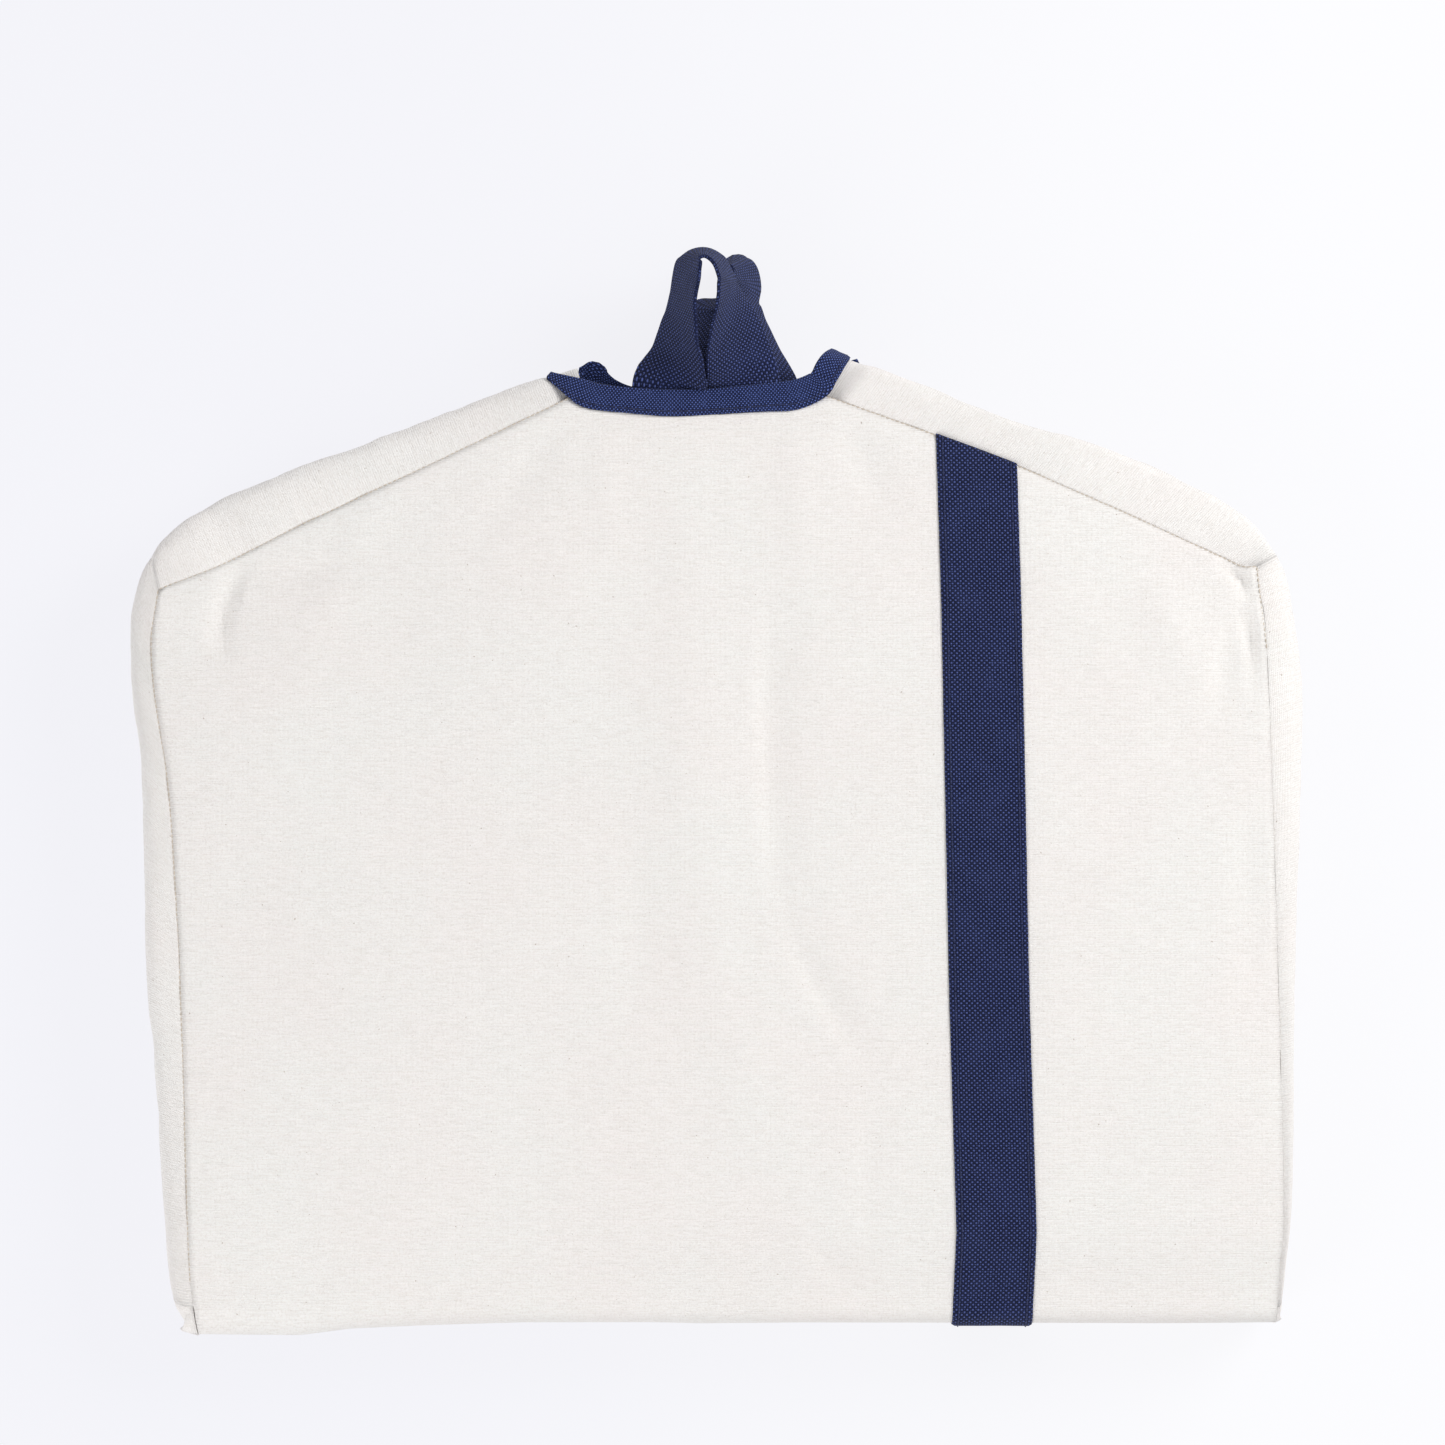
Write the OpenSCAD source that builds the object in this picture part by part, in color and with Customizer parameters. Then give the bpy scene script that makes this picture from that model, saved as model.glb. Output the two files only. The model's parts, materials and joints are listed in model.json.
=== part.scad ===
// Gusseted canvas garment bag, zipped front, folded once and lying flat on its lower half.
// +X is to the right, +Y towards the neck, +Z up. The origin is the middle of the base.

/* [Bag body] */
// Thickness of each folded half
half_t = 26; // [24:1:30]
// Gap left between the two halves for the zipper pull
half_gap = 7; // [7:1:10]
// Canvas thickness
canvas_t = 1.2; // [0.8:0.1:1.4]
// Length of the lower half, from the fold to the hem seam
lower_len = 351; // [320:1:355]

/* [Webbing] */
// Width of the decorative stripe
stripe_w = 40; // [30:1:50]
// Thickness of the stripe and handle webbing
webbing_t = 1.6; // [1.2:0.1:1.8]
// Width of the handle webbing
handle_w = 38; // [30:1:40]
// Width of the binding tape round the neck
binding_w = 12; // [9:1:14]

/* [Zipper] */
// Width of each zipper tape
tape_w = 11; // [8:1:14]
// Thickness of the zipper tape
tape_t = 0.6; // [0.4:0.1:0.8]
// Length of the slider
slider_len = 12; // [10:1:14]
// Length of the pull tab
tab_len = 26; // [18:1:30]

/* [Hidden] */

canvas = "#e9e5df";
navy = "#2b365e";
brass = "#b9975b";
gap = 0.3;
seam_gap = 0.15;

// Heights: lower half from 0 to half_t, upper half from upper_z to top_z.
upper_z = half_t + half_gap;
top_z = upper_z + half_t;
fold_y = -267;

// Seam corners of the back panel, in the order fold, shoulder, neck on each side.
fold_left = [-260, fold_y + gap];
fold_right = [279, fold_y + gap];
corner_left = [-278.5, 99.5];
corner_right = [269, 111];
neck_left = [-74, 194.5];
neck_right = [54, 195];
neck_low = [-14, 186.5];

// Front neckline, a little to the right of the back one.
front_neck_left = [-66, 202];
front_neck_right = [68, 203];
front_neck_low = [2, 187];

// How far the panel's seams bow outwards at a third and two thirds of their length.
side_left_k = [1, 5];
shoulder_left_k = [2, 2];
shoulder_right_k = [2, 3];
side_right_k = [4, 2];

// Outermost line of the gusset, bulging beyond those seams.
fold_left_out = [-271, fold_y + gap];
fold_right_out = [284, fold_y + gap];
corner_left_out = [-288, 108];
corner_right_out = [284, 110];
neck_left_out = [-84.5, 205.5];
neck_right_out = [65.5, 216];

// Hem seam of the lower half, hidden under the upper half's shoulders.
hem_y = fold_y + lower_len;
hem_left = [-272, hem_y];
hem_right = [268, hem_y];
hem_left_out = [-281, hem_y + 7];
hem_right_out = [278, hem_y + 7];
hem_bulge = 12;

stripe_x = 136;
pleat_len = 27;
steps = 14;

// Zipper: the rows of teeth lie from teeth_in to teeth_out each side of its middle.
zip_x = 4;
zip_top_y = 160;
zip_stop_y = 158;
zip_low_y = hem_y - 20;
teeth_in = 0.6;
teeth_out = 3;
teeth_t = 2.4;
zip_half = teeth_out + tape_w + 0.2;
lower_zip_z = half_t - canvas_t / 2;
upper_zip_z = upper_z + canvas_t / 2;

// Slider, with its tab hanging on a crown below it.
slider_y = 150;
wing_t = 1.2;
slider_half = teeth_t / 2 + gap + wing_t;
crown_z = upper_zip_z - slider_half - 1.9;
tab_pivot = [zip_x, slider_y + 2, crown_z + 0.6];
pin_r = 0.5;

// Neck: binding tape, and the handles' sewn ends and swing axes inside it.
binding_t = 3;
tail_len = 24;
tail_gap = 7;
back_tail_z = top_z - canvas_t - 1 - webbing_t;
front_tail_z = upper_z + canvas_t + 1;
back_pivot = [0, 208, back_tail_z + webbing_t / 2];
front_pivot = [0, 210.5, front_tail_z + webbing_t / 2];
back_legs = [-24.5, 13];
front_legs = [-16, 21.5];

// A gentle curve from a to b: its two control points stand k1 and k2 to the left of the chord.
function curve(a, b, k1, k2, s) =
    let (d = b - a, n = [-d[1], d[0]] / norm(d))
    let (p1 = a + d / 3 + n * k1, p2 = a + 2 * d / 3 + n * k2)
    pow(1 - s, 3) * a + 3 * pow(1 - s, 2) * s * p1 + 3 * (1 - s) * s * s * p2 + s * s * s * b;

function curve_points(a, b, k1, k2, n = steps) = [for (i = [0:n]) curve(a, b, k1, k2, i / n)];

// A scooped edge from a to b whose middle passes through low.
function scoop(a, low, b) = [
    for (i = [0:steps])
        let (s = i / steps)
        pow(1 - s, 2) * a + 2 * (1 - s) * s * (2 * low - (a + b) / 2) + s * s * b
];

function back_neck() = scoop(neck_left, neck_low, neck_right);

function front_neck() = scoop(front_neck_left, front_neck_low, front_neck_right);

module upper_outline(neck) {
    polygon(concat(
        curve_points(fold_left, corner_left, side_left_k[0], side_left_k[1]),
        curve_points(corner_left, neck_left, shoulder_left_k[0], shoulder_left_k[1]),
        neck,
        curve_points(neck_right, corner_right, shoulder_right_k[0], shoulder_right_k[1]),
        curve_points(corner_right, fold_right, side_right_k[0], side_right_k[1])
    ));
}

module lower_outline() {
    polygon(concat(
        curve_points(fold_left, hem_left, side_left_k[0], side_left_k[1]),
        curve_points(hem_right, fold_right, side_right_k[0], side_right_k[1])
    ));
}

module plate(z, t) {
    translate([0, 0, z]) linear_extrude(height = t) children();
}

// One side of the front of the bag: the part of the outline left or right of the zipper.
module front_side(left, y_low, y_high) {
    away = 400;
    difference() {
        children();
        translate([left ? zip_x - seam_gap : zip_x + seam_gap - away, -away])
            square([away, 2 * away]);
        translate([zip_x - zip_half - seam_gap, y_low])
            square([2 * (zip_half + seam_gap), y_high - y_low]);
    }
}

// A strip of gusset: a half-round shell from the seam line to its outermost line.
// seam and out are each [a, b, k1, k2]; z is its underside.
module gusset(seam, out, z, n = steps, m = 8) {
    ring = 2 * (m + 1);
    mid = z + half_t / 2;
    points = [
        for (i = [0:n])
            let (s = i / n)
            let (p = curve(seam[0], seam[1], seam[2], seam[3], s))
            let (q = curve(out[0], out[1], out[2], out[3], s))
            let (far = norm(q - p), u = (q - p) / far, start = p + u * seam_gap)
            for (side = [0, 1], j = [0:m])
                let (turn = 180 * (side == 0 ? j : m - j) / m)
                let (reach = (far - seam_gap - side * canvas_t) * sin(turn))
                let (rise = (half_t / 2 - side * canvas_t) * cos(turn))
                [start[0] + u[0] * reach, start[1] + u[1] * reach, mid + rise]
    ];
    sides = [
        for (i = [0:n - 1], j = [0:ring - 1])
            let (a = i * ring + j, b = i * ring + (j + 1) % ring)
            each [[a, b, b + ring], [a, b + ring, a + ring]]
    ];
    near_cap = [for (j = [0:m - 1]) [j + 1, j, ring - 1 - j, ring - 2 - j]];
    far_cap = [
        for (j = [0:m - 1])
            let (o = n * ring)
            [o + j, o + j + 1, o + ring - 2 - j, o + ring - 1 - j]
    ];
    polyhedron(points, concat(sides, near_cap, far_cap));
}

// A strip of tape along an edge curve, w wide, lying above it in the plane.
module edge_tape(edge, w, z, t) {
    n = len(edge) - 1;
    outer = [
        for (i = [n:-1:0])
            let (d = edge[min(i + 1, n)] - edge[max(i - 1, 0)])
            edge[i] + [-d[1], d[0]] / norm(d) * (w + seam_gap)
    ];
    inner = [
        for (i = [0:n])
            let (d = edge[min(i + 1, n)] - edge[max(i - 1, 0)])
            edge[i] + [-d[1], d[0]] / norm(d) * seam_gap
    ];
    plate(z, t) polygon(concat(inner, outer));
}

// Lower half

// The back panel steps up over the stripe, so that both lie flush on what the bag rests on.
module back_panel_lower() {
    slot_x = stripe_x - stripe_w / 2 - 0.2;
    slot_w = stripe_w + 0.4;
    step_z = webbing_t + 0.1;
    rim = 1.5;
    color(canvas) {
        difference() {
            plate(0, canvas_t) lower_outline();
            translate([slot_x, fold_y - 1, -1]) cube([slot_w, lower_len + 2, canvas_t + 2]);
        }
        for (x = [slot_x - rim, slot_x + slot_w])
            translate([x, fold_y + gap, canvas_t / 2])
                cube([rim, lower_len - 1, step_z + canvas_t / 2]);
        translate([slot_x - rim, fold_y + gap, step_z])
            cube([slot_w + 2 * rim, lower_len - 1, canvas_t]);
    }
}

module front_lower(left) {
    color(canvas)
        plate(half_t - canvas_t, canvas_t)
            front_side(left, fold_y - 1, zip_low_y) lower_outline();
}

module front_panel_left_lower() {
    front_lower(true);
}

module front_panel_right_lower() {
    front_lower(false);
}

module side_gusset_left_lower() {
    color(canvas)
        gusset(
            [fold_left, hem_left, side_left_k[0], side_left_k[1]],
            [fold_left_out, hem_left_out, 2, 8],
            0
        );
}

module side_gusset_right_lower() {
    color(canvas)
        gusset(
            [hem_right, fold_right, side_right_k[0], side_right_k[1]],
            [hem_right_out, fold_right_out, 8, 1],
            0
        );
}

module hem_gusset() {
    lift = [0, seam_gap];
    color(canvas)
        gusset(
            [hem_left + lift, hem_right + lift, 0, 0],
            [hem_left_out + 4 * lift, hem_right_out + 4 * lift, hem_bulge - 4, hem_bulge - 4],
            0
        );
}

module stripe_lower() {
    color(navy)
        translate([stripe_x - stripe_w / 2, fold_y + gap, 0])
            cube([stripe_w, lower_len - 1, webbing_t]);
}

module tape(left, y_low, y_high, z) {
    x = left ? zip_x - zip_half : zip_x + teeth_out + 0.2;
    color(canvas) translate([x, y_low, z - tape_t / 2]) cube([tape_w, y_high - y_low, tape_t]);
}

module teeth(y_low, y_high, z) {
    color(brass)
        for (x = [zip_x - teeth_out, zip_x + teeth_in])
            translate([x, y_low, z - teeth_t / 2])
                cube([teeth_out - teeth_in, y_high - y_low, teeth_t]);
}

module zipper_tape_left_lower() {
    tape(true, fold_y + gap, zip_low_y - gap, lower_zip_z);
}

module zipper_tape_right_lower() {
    tape(false, fold_y + gap, zip_low_y - gap, lower_zip_z);
}

module zipper_teeth_lower() {
    teeth(fold_y + gap, zip_low_y - 6, lower_zip_z);
}

module zipper_bottom_stop() {
    color(brass)
        translate([zip_x - teeth_out, zip_low_y - 5.8, lower_zip_z - teeth_t / 2])
            cube([2 * teeth_out, 4, teeth_t]);
}

// Fold

module back_panel_fold() {
    color(canvas)
        translate([fold_left[0], fold_y - canvas_t, gap])
            cube([fold_right[0] - fold_left[0], canvas_t, top_z - 2 * gap]);
}

module stripe_fold() {
    color(navy)
        translate([stripe_x - stripe_w / 2, fold_y - canvas_t - gap - webbing_t, gap])
            cube([stripe_w, webbing_t, top_z - 2 * gap]);
}

// Two leaves of cloth doubled into the gap between the halves, joined along their inner edge.
module pleat(x_low, x_high, t) {
    low_z = half_t + 0.8;
    high_z = upper_z - 0.8;
    y = fold_y + gap;
    translate([x_low, y, low_z]) cube([x_high - x_low, pleat_len, t]);
    translate([x_low, y, high_z - t]) cube([x_high - x_low, pleat_len, t]);
    translate([x_low, y + pleat_len - t, low_z]) cube([x_high - x_low, t, high_z - low_z]);
}

module front_panel_fold() {
    color(canvas) {
        pleat(fold_left[0] + 16, zip_x - zip_half - gap, canvas_t);
        pleat(zip_x + zip_half + gap, fold_right[0] - 16, canvas_t);
    }
}

module zipper_fold() {
    color(canvas) pleat(zip_x - zip_half, zip_x + zip_half, tape_t);
}

// The corner of gusset cloth that creases outwards at each end of the fold, from edge_x to x_tip.
module ear(x_tip, edge_x, x_root) {
    y = fold_y + gap;
    droop = 5;
    plate(half_t + 1, half_gap - 2)
        polygon([[x_tip, y - droop], [edge_x, y], [x_root, y], [x_root, y + 22], [x_tip, y + 14]]);
}

module fold_gusset_left() {
    color(canvas) ear(fold_left[0] - 10, fold_left[0] - gap, fold_left[0] + 10);
}

module fold_gusset_right() {
    color(canvas) ear(fold_right[0] + 4, fold_right[0] + gap, fold_right[0] - 10);
}

// Upper half

module back_panel_upper() {
    color(canvas) plate(top_z - canvas_t, canvas_t) upper_outline(back_neck());
}

module front_upper(left) {
    color(canvas)
        plate(upper_z, canvas_t)
            front_side(left, fold_y - 1, zip_top_y) upper_outline(front_neck());
}

module front_panel_left_upper() {
    front_upper(true);
}

module front_panel_right_upper() {
    front_upper(false);
}

module shoulder_gusset_left() {
    color(canvas)
        gusset(
            [corner_left, neck_left, shoulder_left_k[0], shoulder_left_k[1]],
            [corner_left_out, neck_left_out, 34, 1],
            upper_z
        );
}

module shoulder_gusset_right() {
    color(canvas)
        gusset(
            [neck_right, corner_right, shoulder_right_k[0], shoulder_right_k[1]],
            [neck_right_out, corner_right_out, -4, 46],
            upper_z
        );
}

module side_gusset_left_upper() {
    drop = [0, -1];
    color(canvas)
        gusset(
            [fold_left, corner_left + drop, side_left_k[0], side_left_k[1]],
            [fold_left_out, corner_left_out + drop, 2, 15],
            upper_z
        );
}

module side_gusset_right_upper() {
    drop = [0, -1];
    color(canvas)
        gusset(
            [corner_right + drop, fold_right, side_right_k[0], side_right_k[1]],
            [corner_right_out + drop, fold_right_out, 20, 1],
            upper_z
        );
}

// The stripe is cut off along the shoulder seam.
module stripe_upper() {
    color(navy)
        plate(top_z, webbing_t)
            polygon([
                [stripe_x - stripe_w / 2, fold_y + gap],
                [stripe_x - stripe_w / 2 - 7, 172],
                [stripe_x + stripe_w / 2 - 7, 158],
                [stripe_x + stripe_w / 2, fold_y + gap]
            ]);
}

module neck_binding_back() {
    color(navy) edge_tape(back_neck(), binding_w, top_z - 2.1, binding_t);
}

module neck_binding_front() {
    color(navy) edge_tape(front_neck(), binding_w, upper_z - 0.9, binding_t);
}

// Tape round the open end of each shoulder gusset.
module neck_binding_left() {
    away = [1.2, 0.6];
    color(navy)
        gusset(
            [neck_left + [-0.2, 1], neck_left + [-0.2, 1] + 6 * away, 0, 0],
            [neck_left_out + away / 2, neck_left_out + 8 * away, 0, 0],
            upper_z,
            3
        );
}

module neck_binding_right() {
    away = [-1.2, 0.5];
    color(navy)
        gusset(
            [neck_right + [0.2, 1] + 6 * away, neck_right + [0.2, 1], 0, 0],
            [neck_right_out + 8 * away, neck_right_out + away / 2, 0, 0],
            upper_z,
            3
        );
}

// The sewn ends of a handle, side by side inside the neck.
module tails(x_left, x_right, y_top, z) {
    for (x = [x_left, x_right])
        translate([x - handle_w / 2 + 0.3, y_top - tail_len, z])
            cube([handle_w - 1.5, tail_len, webbing_t]);
}

module back_handle_tails() {
    color(navy) tails(back_legs[0], back_legs[1], back_pivot[1] - tail_gap, back_tail_z);
}

module front_handle_tails() {
    color(navy) tails(front_legs[0], front_legs[1], front_pivot[1] - tail_gap, front_tail_z);
}

function spline(p, i, s) =
    let (a = p[max(i - 1, 0)], b = p[i], c = p[i + 1], d = p[min(i + 2, len(p) - 1)])
    (2 * b + (c - a) * s + (2 * a - 5 * b + 4 * c - d) * s * s
        + (3 * b - a - 3 * c + d) * s * s * s) / 2;

function unit(v) = v / norm(v);

// A webbing loop. Each row of route is x, y, z and how far the webbing has turned
// about its own length: 0 flat at the left foot, 90 on edge, 180 flat at the right foot.
module webbing_loop(route, per = 4) {
    n = (len(route) - 1) * per;
    last = len(route) - 2;
    at = [
        for (i = [0:n])
            let (k = min(floor(i / per), last))
            spline(route, k, i / per - k)
    ];
    points = [
        for (i = [0:n])
            let (a = at[max(i - 1, 0)], b = at[min(i + 1, n)], turn = at[i][3])
            let (t = unit([b[0] - a[0], b[1] - a[1], b[2] - a[2]]))
            let (w0 = [cos(turn), 0, sin(turn)])
            let (w = unit(w0 - t * (w0 * t)), up = cross(w, t))
            let (c = [at[i][0], at[i][1], at[i][2]])
            for (q = [[-1, -1], [1, -1], [1, 1], [-1, 1]])
                c + w * q[0] * handle_w / 2 + up * q[1] * webbing_t / 2
    ];
    sides = [
        for (i = [0:n - 1], j = [0:3])
            let (a = 4 * i + j, b = 4 * i + (j + 1) % 4)
            each [[a, b, b + 4], [a, b + 4, a + 4]]
    ];
    polyhedron(points, concat([[3, 2, 1, 0]], sides, [[4 * n, 4 * n + 1, 4 * n + 2, 4 * n + 3]]));
}

module back_handle() {
    y = back_pivot[1];
    z = back_pivot[2];
    color(navy)
        webbing_loop([
            [back_legs[0], y, z, 0], [-22.5, 219, z + 2, 34], [-19.5, 235, z + 8, 64],
            [-16, 252, z + 11, 78], [-11.5, 263, z + 12, 86], [-4.5, 267.5, z + 12, 90],
            [3, 263, z + 12, 94], [6.5, 252, z + 11, 103], [8, 235, z + 8, 117],
            [10, 219, z + 2, 146], [back_legs[1], y, z, 180]
        ]);
}

module front_handle() {
    y = front_pivot[1];
    z = front_pivot[2];
    color(navy)
        webbing_loop([
            [front_legs[0], y, z, 0], [-15, 221, z - 5, 32], [-13, 235, z - 11, 66],
            [-10, 250, z - 14, 80], [-4, 261, z - 14, 88], [5, 265, z - 14, 90],
            [13, 261, z - 14, 92], [17, 250, z - 14, 100], [17.5, 235, z - 11, 114],
            [19, 221, z - 5, 148], [front_legs[1], y, z, 180]
        ]);
}

module zipper_tape_left_upper() {
    tape(true, fold_y + gap, zip_top_y - gap, upper_zip_z);
}

module zipper_tape_right_upper() {
    tape(false, fold_y + gap, zip_top_y - gap, upper_zip_z);
}

module zipper_teeth_upper() {
    teeth(fold_y + gap, zip_stop_y - 0.2, upper_zip_z);
}

module zipper_top_stops() {
    teeth(zip_stop_y, zip_top_y - gap, upper_zip_z);
}

// Two wings joined by a divider that runs between the rows of teeth, with a crown for the tab.
module zipper_slider() {
    wing_w = 9.6;
    crown_w = 2.4;
    color(brass) {
        for (z = [upper_zip_z - slider_half, upper_zip_z + slider_half - wing_t])
            translate([zip_x - wing_w / 2, slider_y - slider_len / 2, z])
                cube([wing_w, slider_len, wing_t]);
        translate([zip_x - 0.3, slider_y + 1, upper_zip_z - slider_half + 0.1])
            cube([0.6, 4.8, 2 * slider_half - 0.2]);
        difference() {
            translate([zip_x - crown_w / 2, slider_y - 1.5, crown_z - 0.6])
                cube([crown_w, 6, 2.6]);
            translate([zip_x - crown_w, tab_pivot[1], tab_pivot[2]])
                rotate([0, 90, 0]) cylinder(h = 2 * crown_w, r = pin_r + 0.08, $fn = 32);
        }
    }
}

// A flat tab with a pin through the crown.
module zipper_pull_tab() {
    w = 6;
    t = 1;
    arm_w = 1;
    arm_len = 5.8;
    color(brass)
        translate(tab_pivot) {
            translate([-w / 2, 0, 0]) rotate([0, 90, 0]) cylinder(h = w, r = pin_r, $fn = 32);
            for (x = [-w / 2, w / 2 - arm_w])
                translate([x, -t / 2, -t / 2]) cube([arm_w, arm_len, t]);
            translate([-w / 2, arm_len - 1, -t / 2]) cube([w, tab_len - arm_len, t]);
        }
}

back_panel_lower();
front_panel_left_lower();
front_panel_right_lower();
side_gusset_left_lower();
side_gusset_right_lower();
hem_gusset();
stripe_lower();
zipper_tape_left_lower();
zipper_tape_right_lower();
zipper_teeth_lower();
zipper_bottom_stop();
back_panel_fold();
stripe_fold();
front_panel_fold();
zipper_fold();
fold_gusset_left();
fold_gusset_right();
back_panel_upper();
front_panel_left_upper();
front_panel_right_upper();
shoulder_gusset_left();
shoulder_gusset_right();
side_gusset_left_upper();
side_gusset_right_upper();
stripe_upper();
neck_binding_back();
neck_binding_front();
neck_binding_left();
neck_binding_right();
back_handle_tails();
front_handle_tails();
zipper_tape_left_upper();
zipper_tape_right_upper();
zipper_teeth_upper();
zipper_top_stops();
back_handle();
front_handle();
zipper_slider();
zipper_pull_tab();
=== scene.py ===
import json
import math

import bpy
import numpy as np
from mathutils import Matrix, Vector


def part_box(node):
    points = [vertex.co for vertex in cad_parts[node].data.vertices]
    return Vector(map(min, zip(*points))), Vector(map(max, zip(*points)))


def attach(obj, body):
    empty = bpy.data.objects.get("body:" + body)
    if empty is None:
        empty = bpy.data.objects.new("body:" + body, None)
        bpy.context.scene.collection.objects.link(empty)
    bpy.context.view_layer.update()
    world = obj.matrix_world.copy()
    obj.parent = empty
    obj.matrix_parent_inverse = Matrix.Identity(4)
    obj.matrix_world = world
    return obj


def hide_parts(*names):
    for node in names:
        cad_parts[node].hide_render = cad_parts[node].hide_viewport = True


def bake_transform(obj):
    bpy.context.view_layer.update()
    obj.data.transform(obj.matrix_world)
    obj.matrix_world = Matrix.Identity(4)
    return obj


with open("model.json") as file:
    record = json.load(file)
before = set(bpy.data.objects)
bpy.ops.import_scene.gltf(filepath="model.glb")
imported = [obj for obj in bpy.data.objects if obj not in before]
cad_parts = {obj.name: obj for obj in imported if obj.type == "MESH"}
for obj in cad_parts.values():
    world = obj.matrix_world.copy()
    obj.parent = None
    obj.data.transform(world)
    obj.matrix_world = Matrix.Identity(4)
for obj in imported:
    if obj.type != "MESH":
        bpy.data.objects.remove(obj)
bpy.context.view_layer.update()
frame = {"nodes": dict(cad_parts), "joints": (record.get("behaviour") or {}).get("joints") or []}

# The bag lies folded once, back panel up, on its lower half. Lengths below are in millimetres,
# in the CAD model's frame: +X right, +Y towards the neck, +Z up, origin in the middle of the base.
MM = 0.001
PI = math.pi


def low(node):
    return np.array(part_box(node)[0]) / MM


def high(node):
    return np.array(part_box(node)[1]) / MM


# Driving dimensions, read from the frame.
FOLD_Y = high("back_panel_fold")[1]
TOP_Z = high("back_panel_upper")[2]
UPPER_Z = low("front_panel_left_upper")[2]
LOWER_Z = high("front_panel_left_lower")[2]
HEM_Y = high("back_panel_lower")[1]
STRIPE_X = (low("stripe_lower")[0] + high("stripe_lower")[0]) / 2
STRIPE_W = high("stripe_lower")[0] - low("stripe_lower")[0]
WEBBING_T = high("stripe_lower")[2] - low("stripe_lower")[2]
ZIP_X = (low("zipper_teeth_upper")[0] + high("zipper_teeth_upper")[0]) / 2
ZIP_TOP_Y = high("zipper_tape_left_upper")[1]
ZIP_LOW_Y = high("zipper_tape_left_lower")[1]
BINDING_Z = (low("neck_binding_back")[2] + high("neck_binding_back")[2]) / 2
FRONT_BINDING_Z = (low("neck_binding_front")[2] + high("neck_binding_front")[2]) / 2
HINGE = {j["name"]: np.array(j["pos_m"]) / MM for j in frame["joints"] if j.get("pos_m")}
BACK_HINGE = HINGE["back_handle_swing"]
FRONT_HINGE = HINGE["front_handle_swing"]
SPINE_MID = TOP_Z / 2
CREASE_Y = high("front_panel_fold")[1] - 4  # the inner crease of the front's pleat

# Dimensions of the cloth dressing.
CLOTH_T = 1.2
HANDLE_W = 38.0
FACE_INSET = 1.0  # how far the back panel's seams lie below the bag's top
FRONT_INSET = 1.5  # how far the gussets' front seams lie inside the front panels' faces
NOSE = 9.0  # radius of the fold's rounded edge
DROP = 5.0  # how far the back panel sinks on its way to the fold
FOLD_REACH = 55  # where it starts to sink, measured from the fold
GROOVE = 0.7  # depth of the groove along a seam
NOSE_Y = FOLD_Y + NOSE
NOSE_Z = TOP_Z - FACE_INSET - DROP
EDGE_Y = FOLD_Y + 4.5  # where the front panels end beside the fold

# How each half's front lies: the level of its gussets' front seams, and which way it faces in z.
FRONT_SEAM_Z = {"upper": UPPER_Z + FRONT_INSET, "lower": LOWER_Z - FRONT_INSET}
FACING = {"upper": -1, "lower": 1}
SIGN = {"left": -1, "right": 1}
ZIP_END = {"upper": ZIP_TOP_Y, "lower": ZIP_LOW_Y}

# Seams of the upper half's back panel, and the outline of the gusset beyond them.
LEFT_SEAM = [(-259, -270), (-263, -246), (-264.5, -201), (-268, -90), (-273, -6), (-278, 30),
             (-281, 52), (-282, 76), (-278.5, 99.5)]
RIGHT_SEAM = [(278.5, -270), (280, -242), (282, -200), (278.5, -60), (274, 70), (270.5, 98), (269, 111)]
LEFT_SHOULDER = [(-278.5, 99.5), (-271, 102.7), (-243.7, 113.5), (-209, 131), (-140, 163.5), (-74, 195)]
RIGHT_SHOULDER = [(54.5, 196), (108, 176.8), (149, 161.5), (213, 133.5), (252, 115.5), (262, 111), (269, 111)]
NECKLINE = [(-74, 195), (-65.5, 190), (-45.6, 187.6), (-24, 186), (0, 186.6), (27, 188.9), (42, 190.6),
            (54.5, 196)]
LEFT_OUT = [(-268, -267), (-273, -255), (-276, -215), (-280, -150), (-285, -90), (-286.5, -20),
            (-288.5, 20), (-292, 45), (-293, 72), (-292, 88), (-289.5, 101), (-286.5, 110), (-282.5, 116)]
RIGHT_OUT = [(281.5, -267), (284, -240), (287, -195), (288, -110), (290, -40), (291.5, 15),
             (292.5, 44), (289.5, 74.5), (284.5, 104.5), (279.5, 117)]
LEFT_SHOULDER_OUT = [(-282.5, 116), (-278, 124), (-269, 132), (-256, 140.5), (-240, 148.5), (-208.5, 161),
                     (-168.5, 175.5), (-128.5, 191), (-93, 204), (-84, 206)]
RIGHT_SHOULDER_OUT = [(65.5, 215), (81.5, 210), (111.5, 198.5), (151.5, 183), (191.5, 171), (231.5, 154.5),
                      (251.5, 144.5), (269, 131.5), (279.5, 117)]

# Seams and outline of the lower half, and the front neckline.
LEFT_LOW = [(-259, -270), (-263, -246), (-264.5, -201), (-267, -90), (-270, -6), (-272, 84)]
RIGHT_LOW = [(278.5, -270), (279, -242), (279, -200), (276, -60), (270, 40), (268, 84)]
LEFT_LOW_OUT = [(-266, -267), (-272, -255), (-276, -215), (-279, -150), (-281, -60), (-282, 20), (-281, 91)]
RIGHT_LOW_OUT = [(281.5, -267), (283.5, -240), (285, -195), (286, -110), (285, -40), (282, 30), (278, 91)]
FRONT_NECK = [(-66, 202), (-45, 193), (-22, 188.5), (3, 187), (26, 189), (48, 194), (68, 203)]
SIDE_SEAMS = {("left", "upper"): (LEFT_SEAM, LEFT_OUT), ("right", "upper"): (RIGHT_SEAM, RIGHT_OUT),
              ("left", "lower"): (LEFT_LOW, LEFT_LOW_OUT), ("right", "lower"): (RIGHT_LOW, RIGHT_LOW_OUT)}


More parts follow.
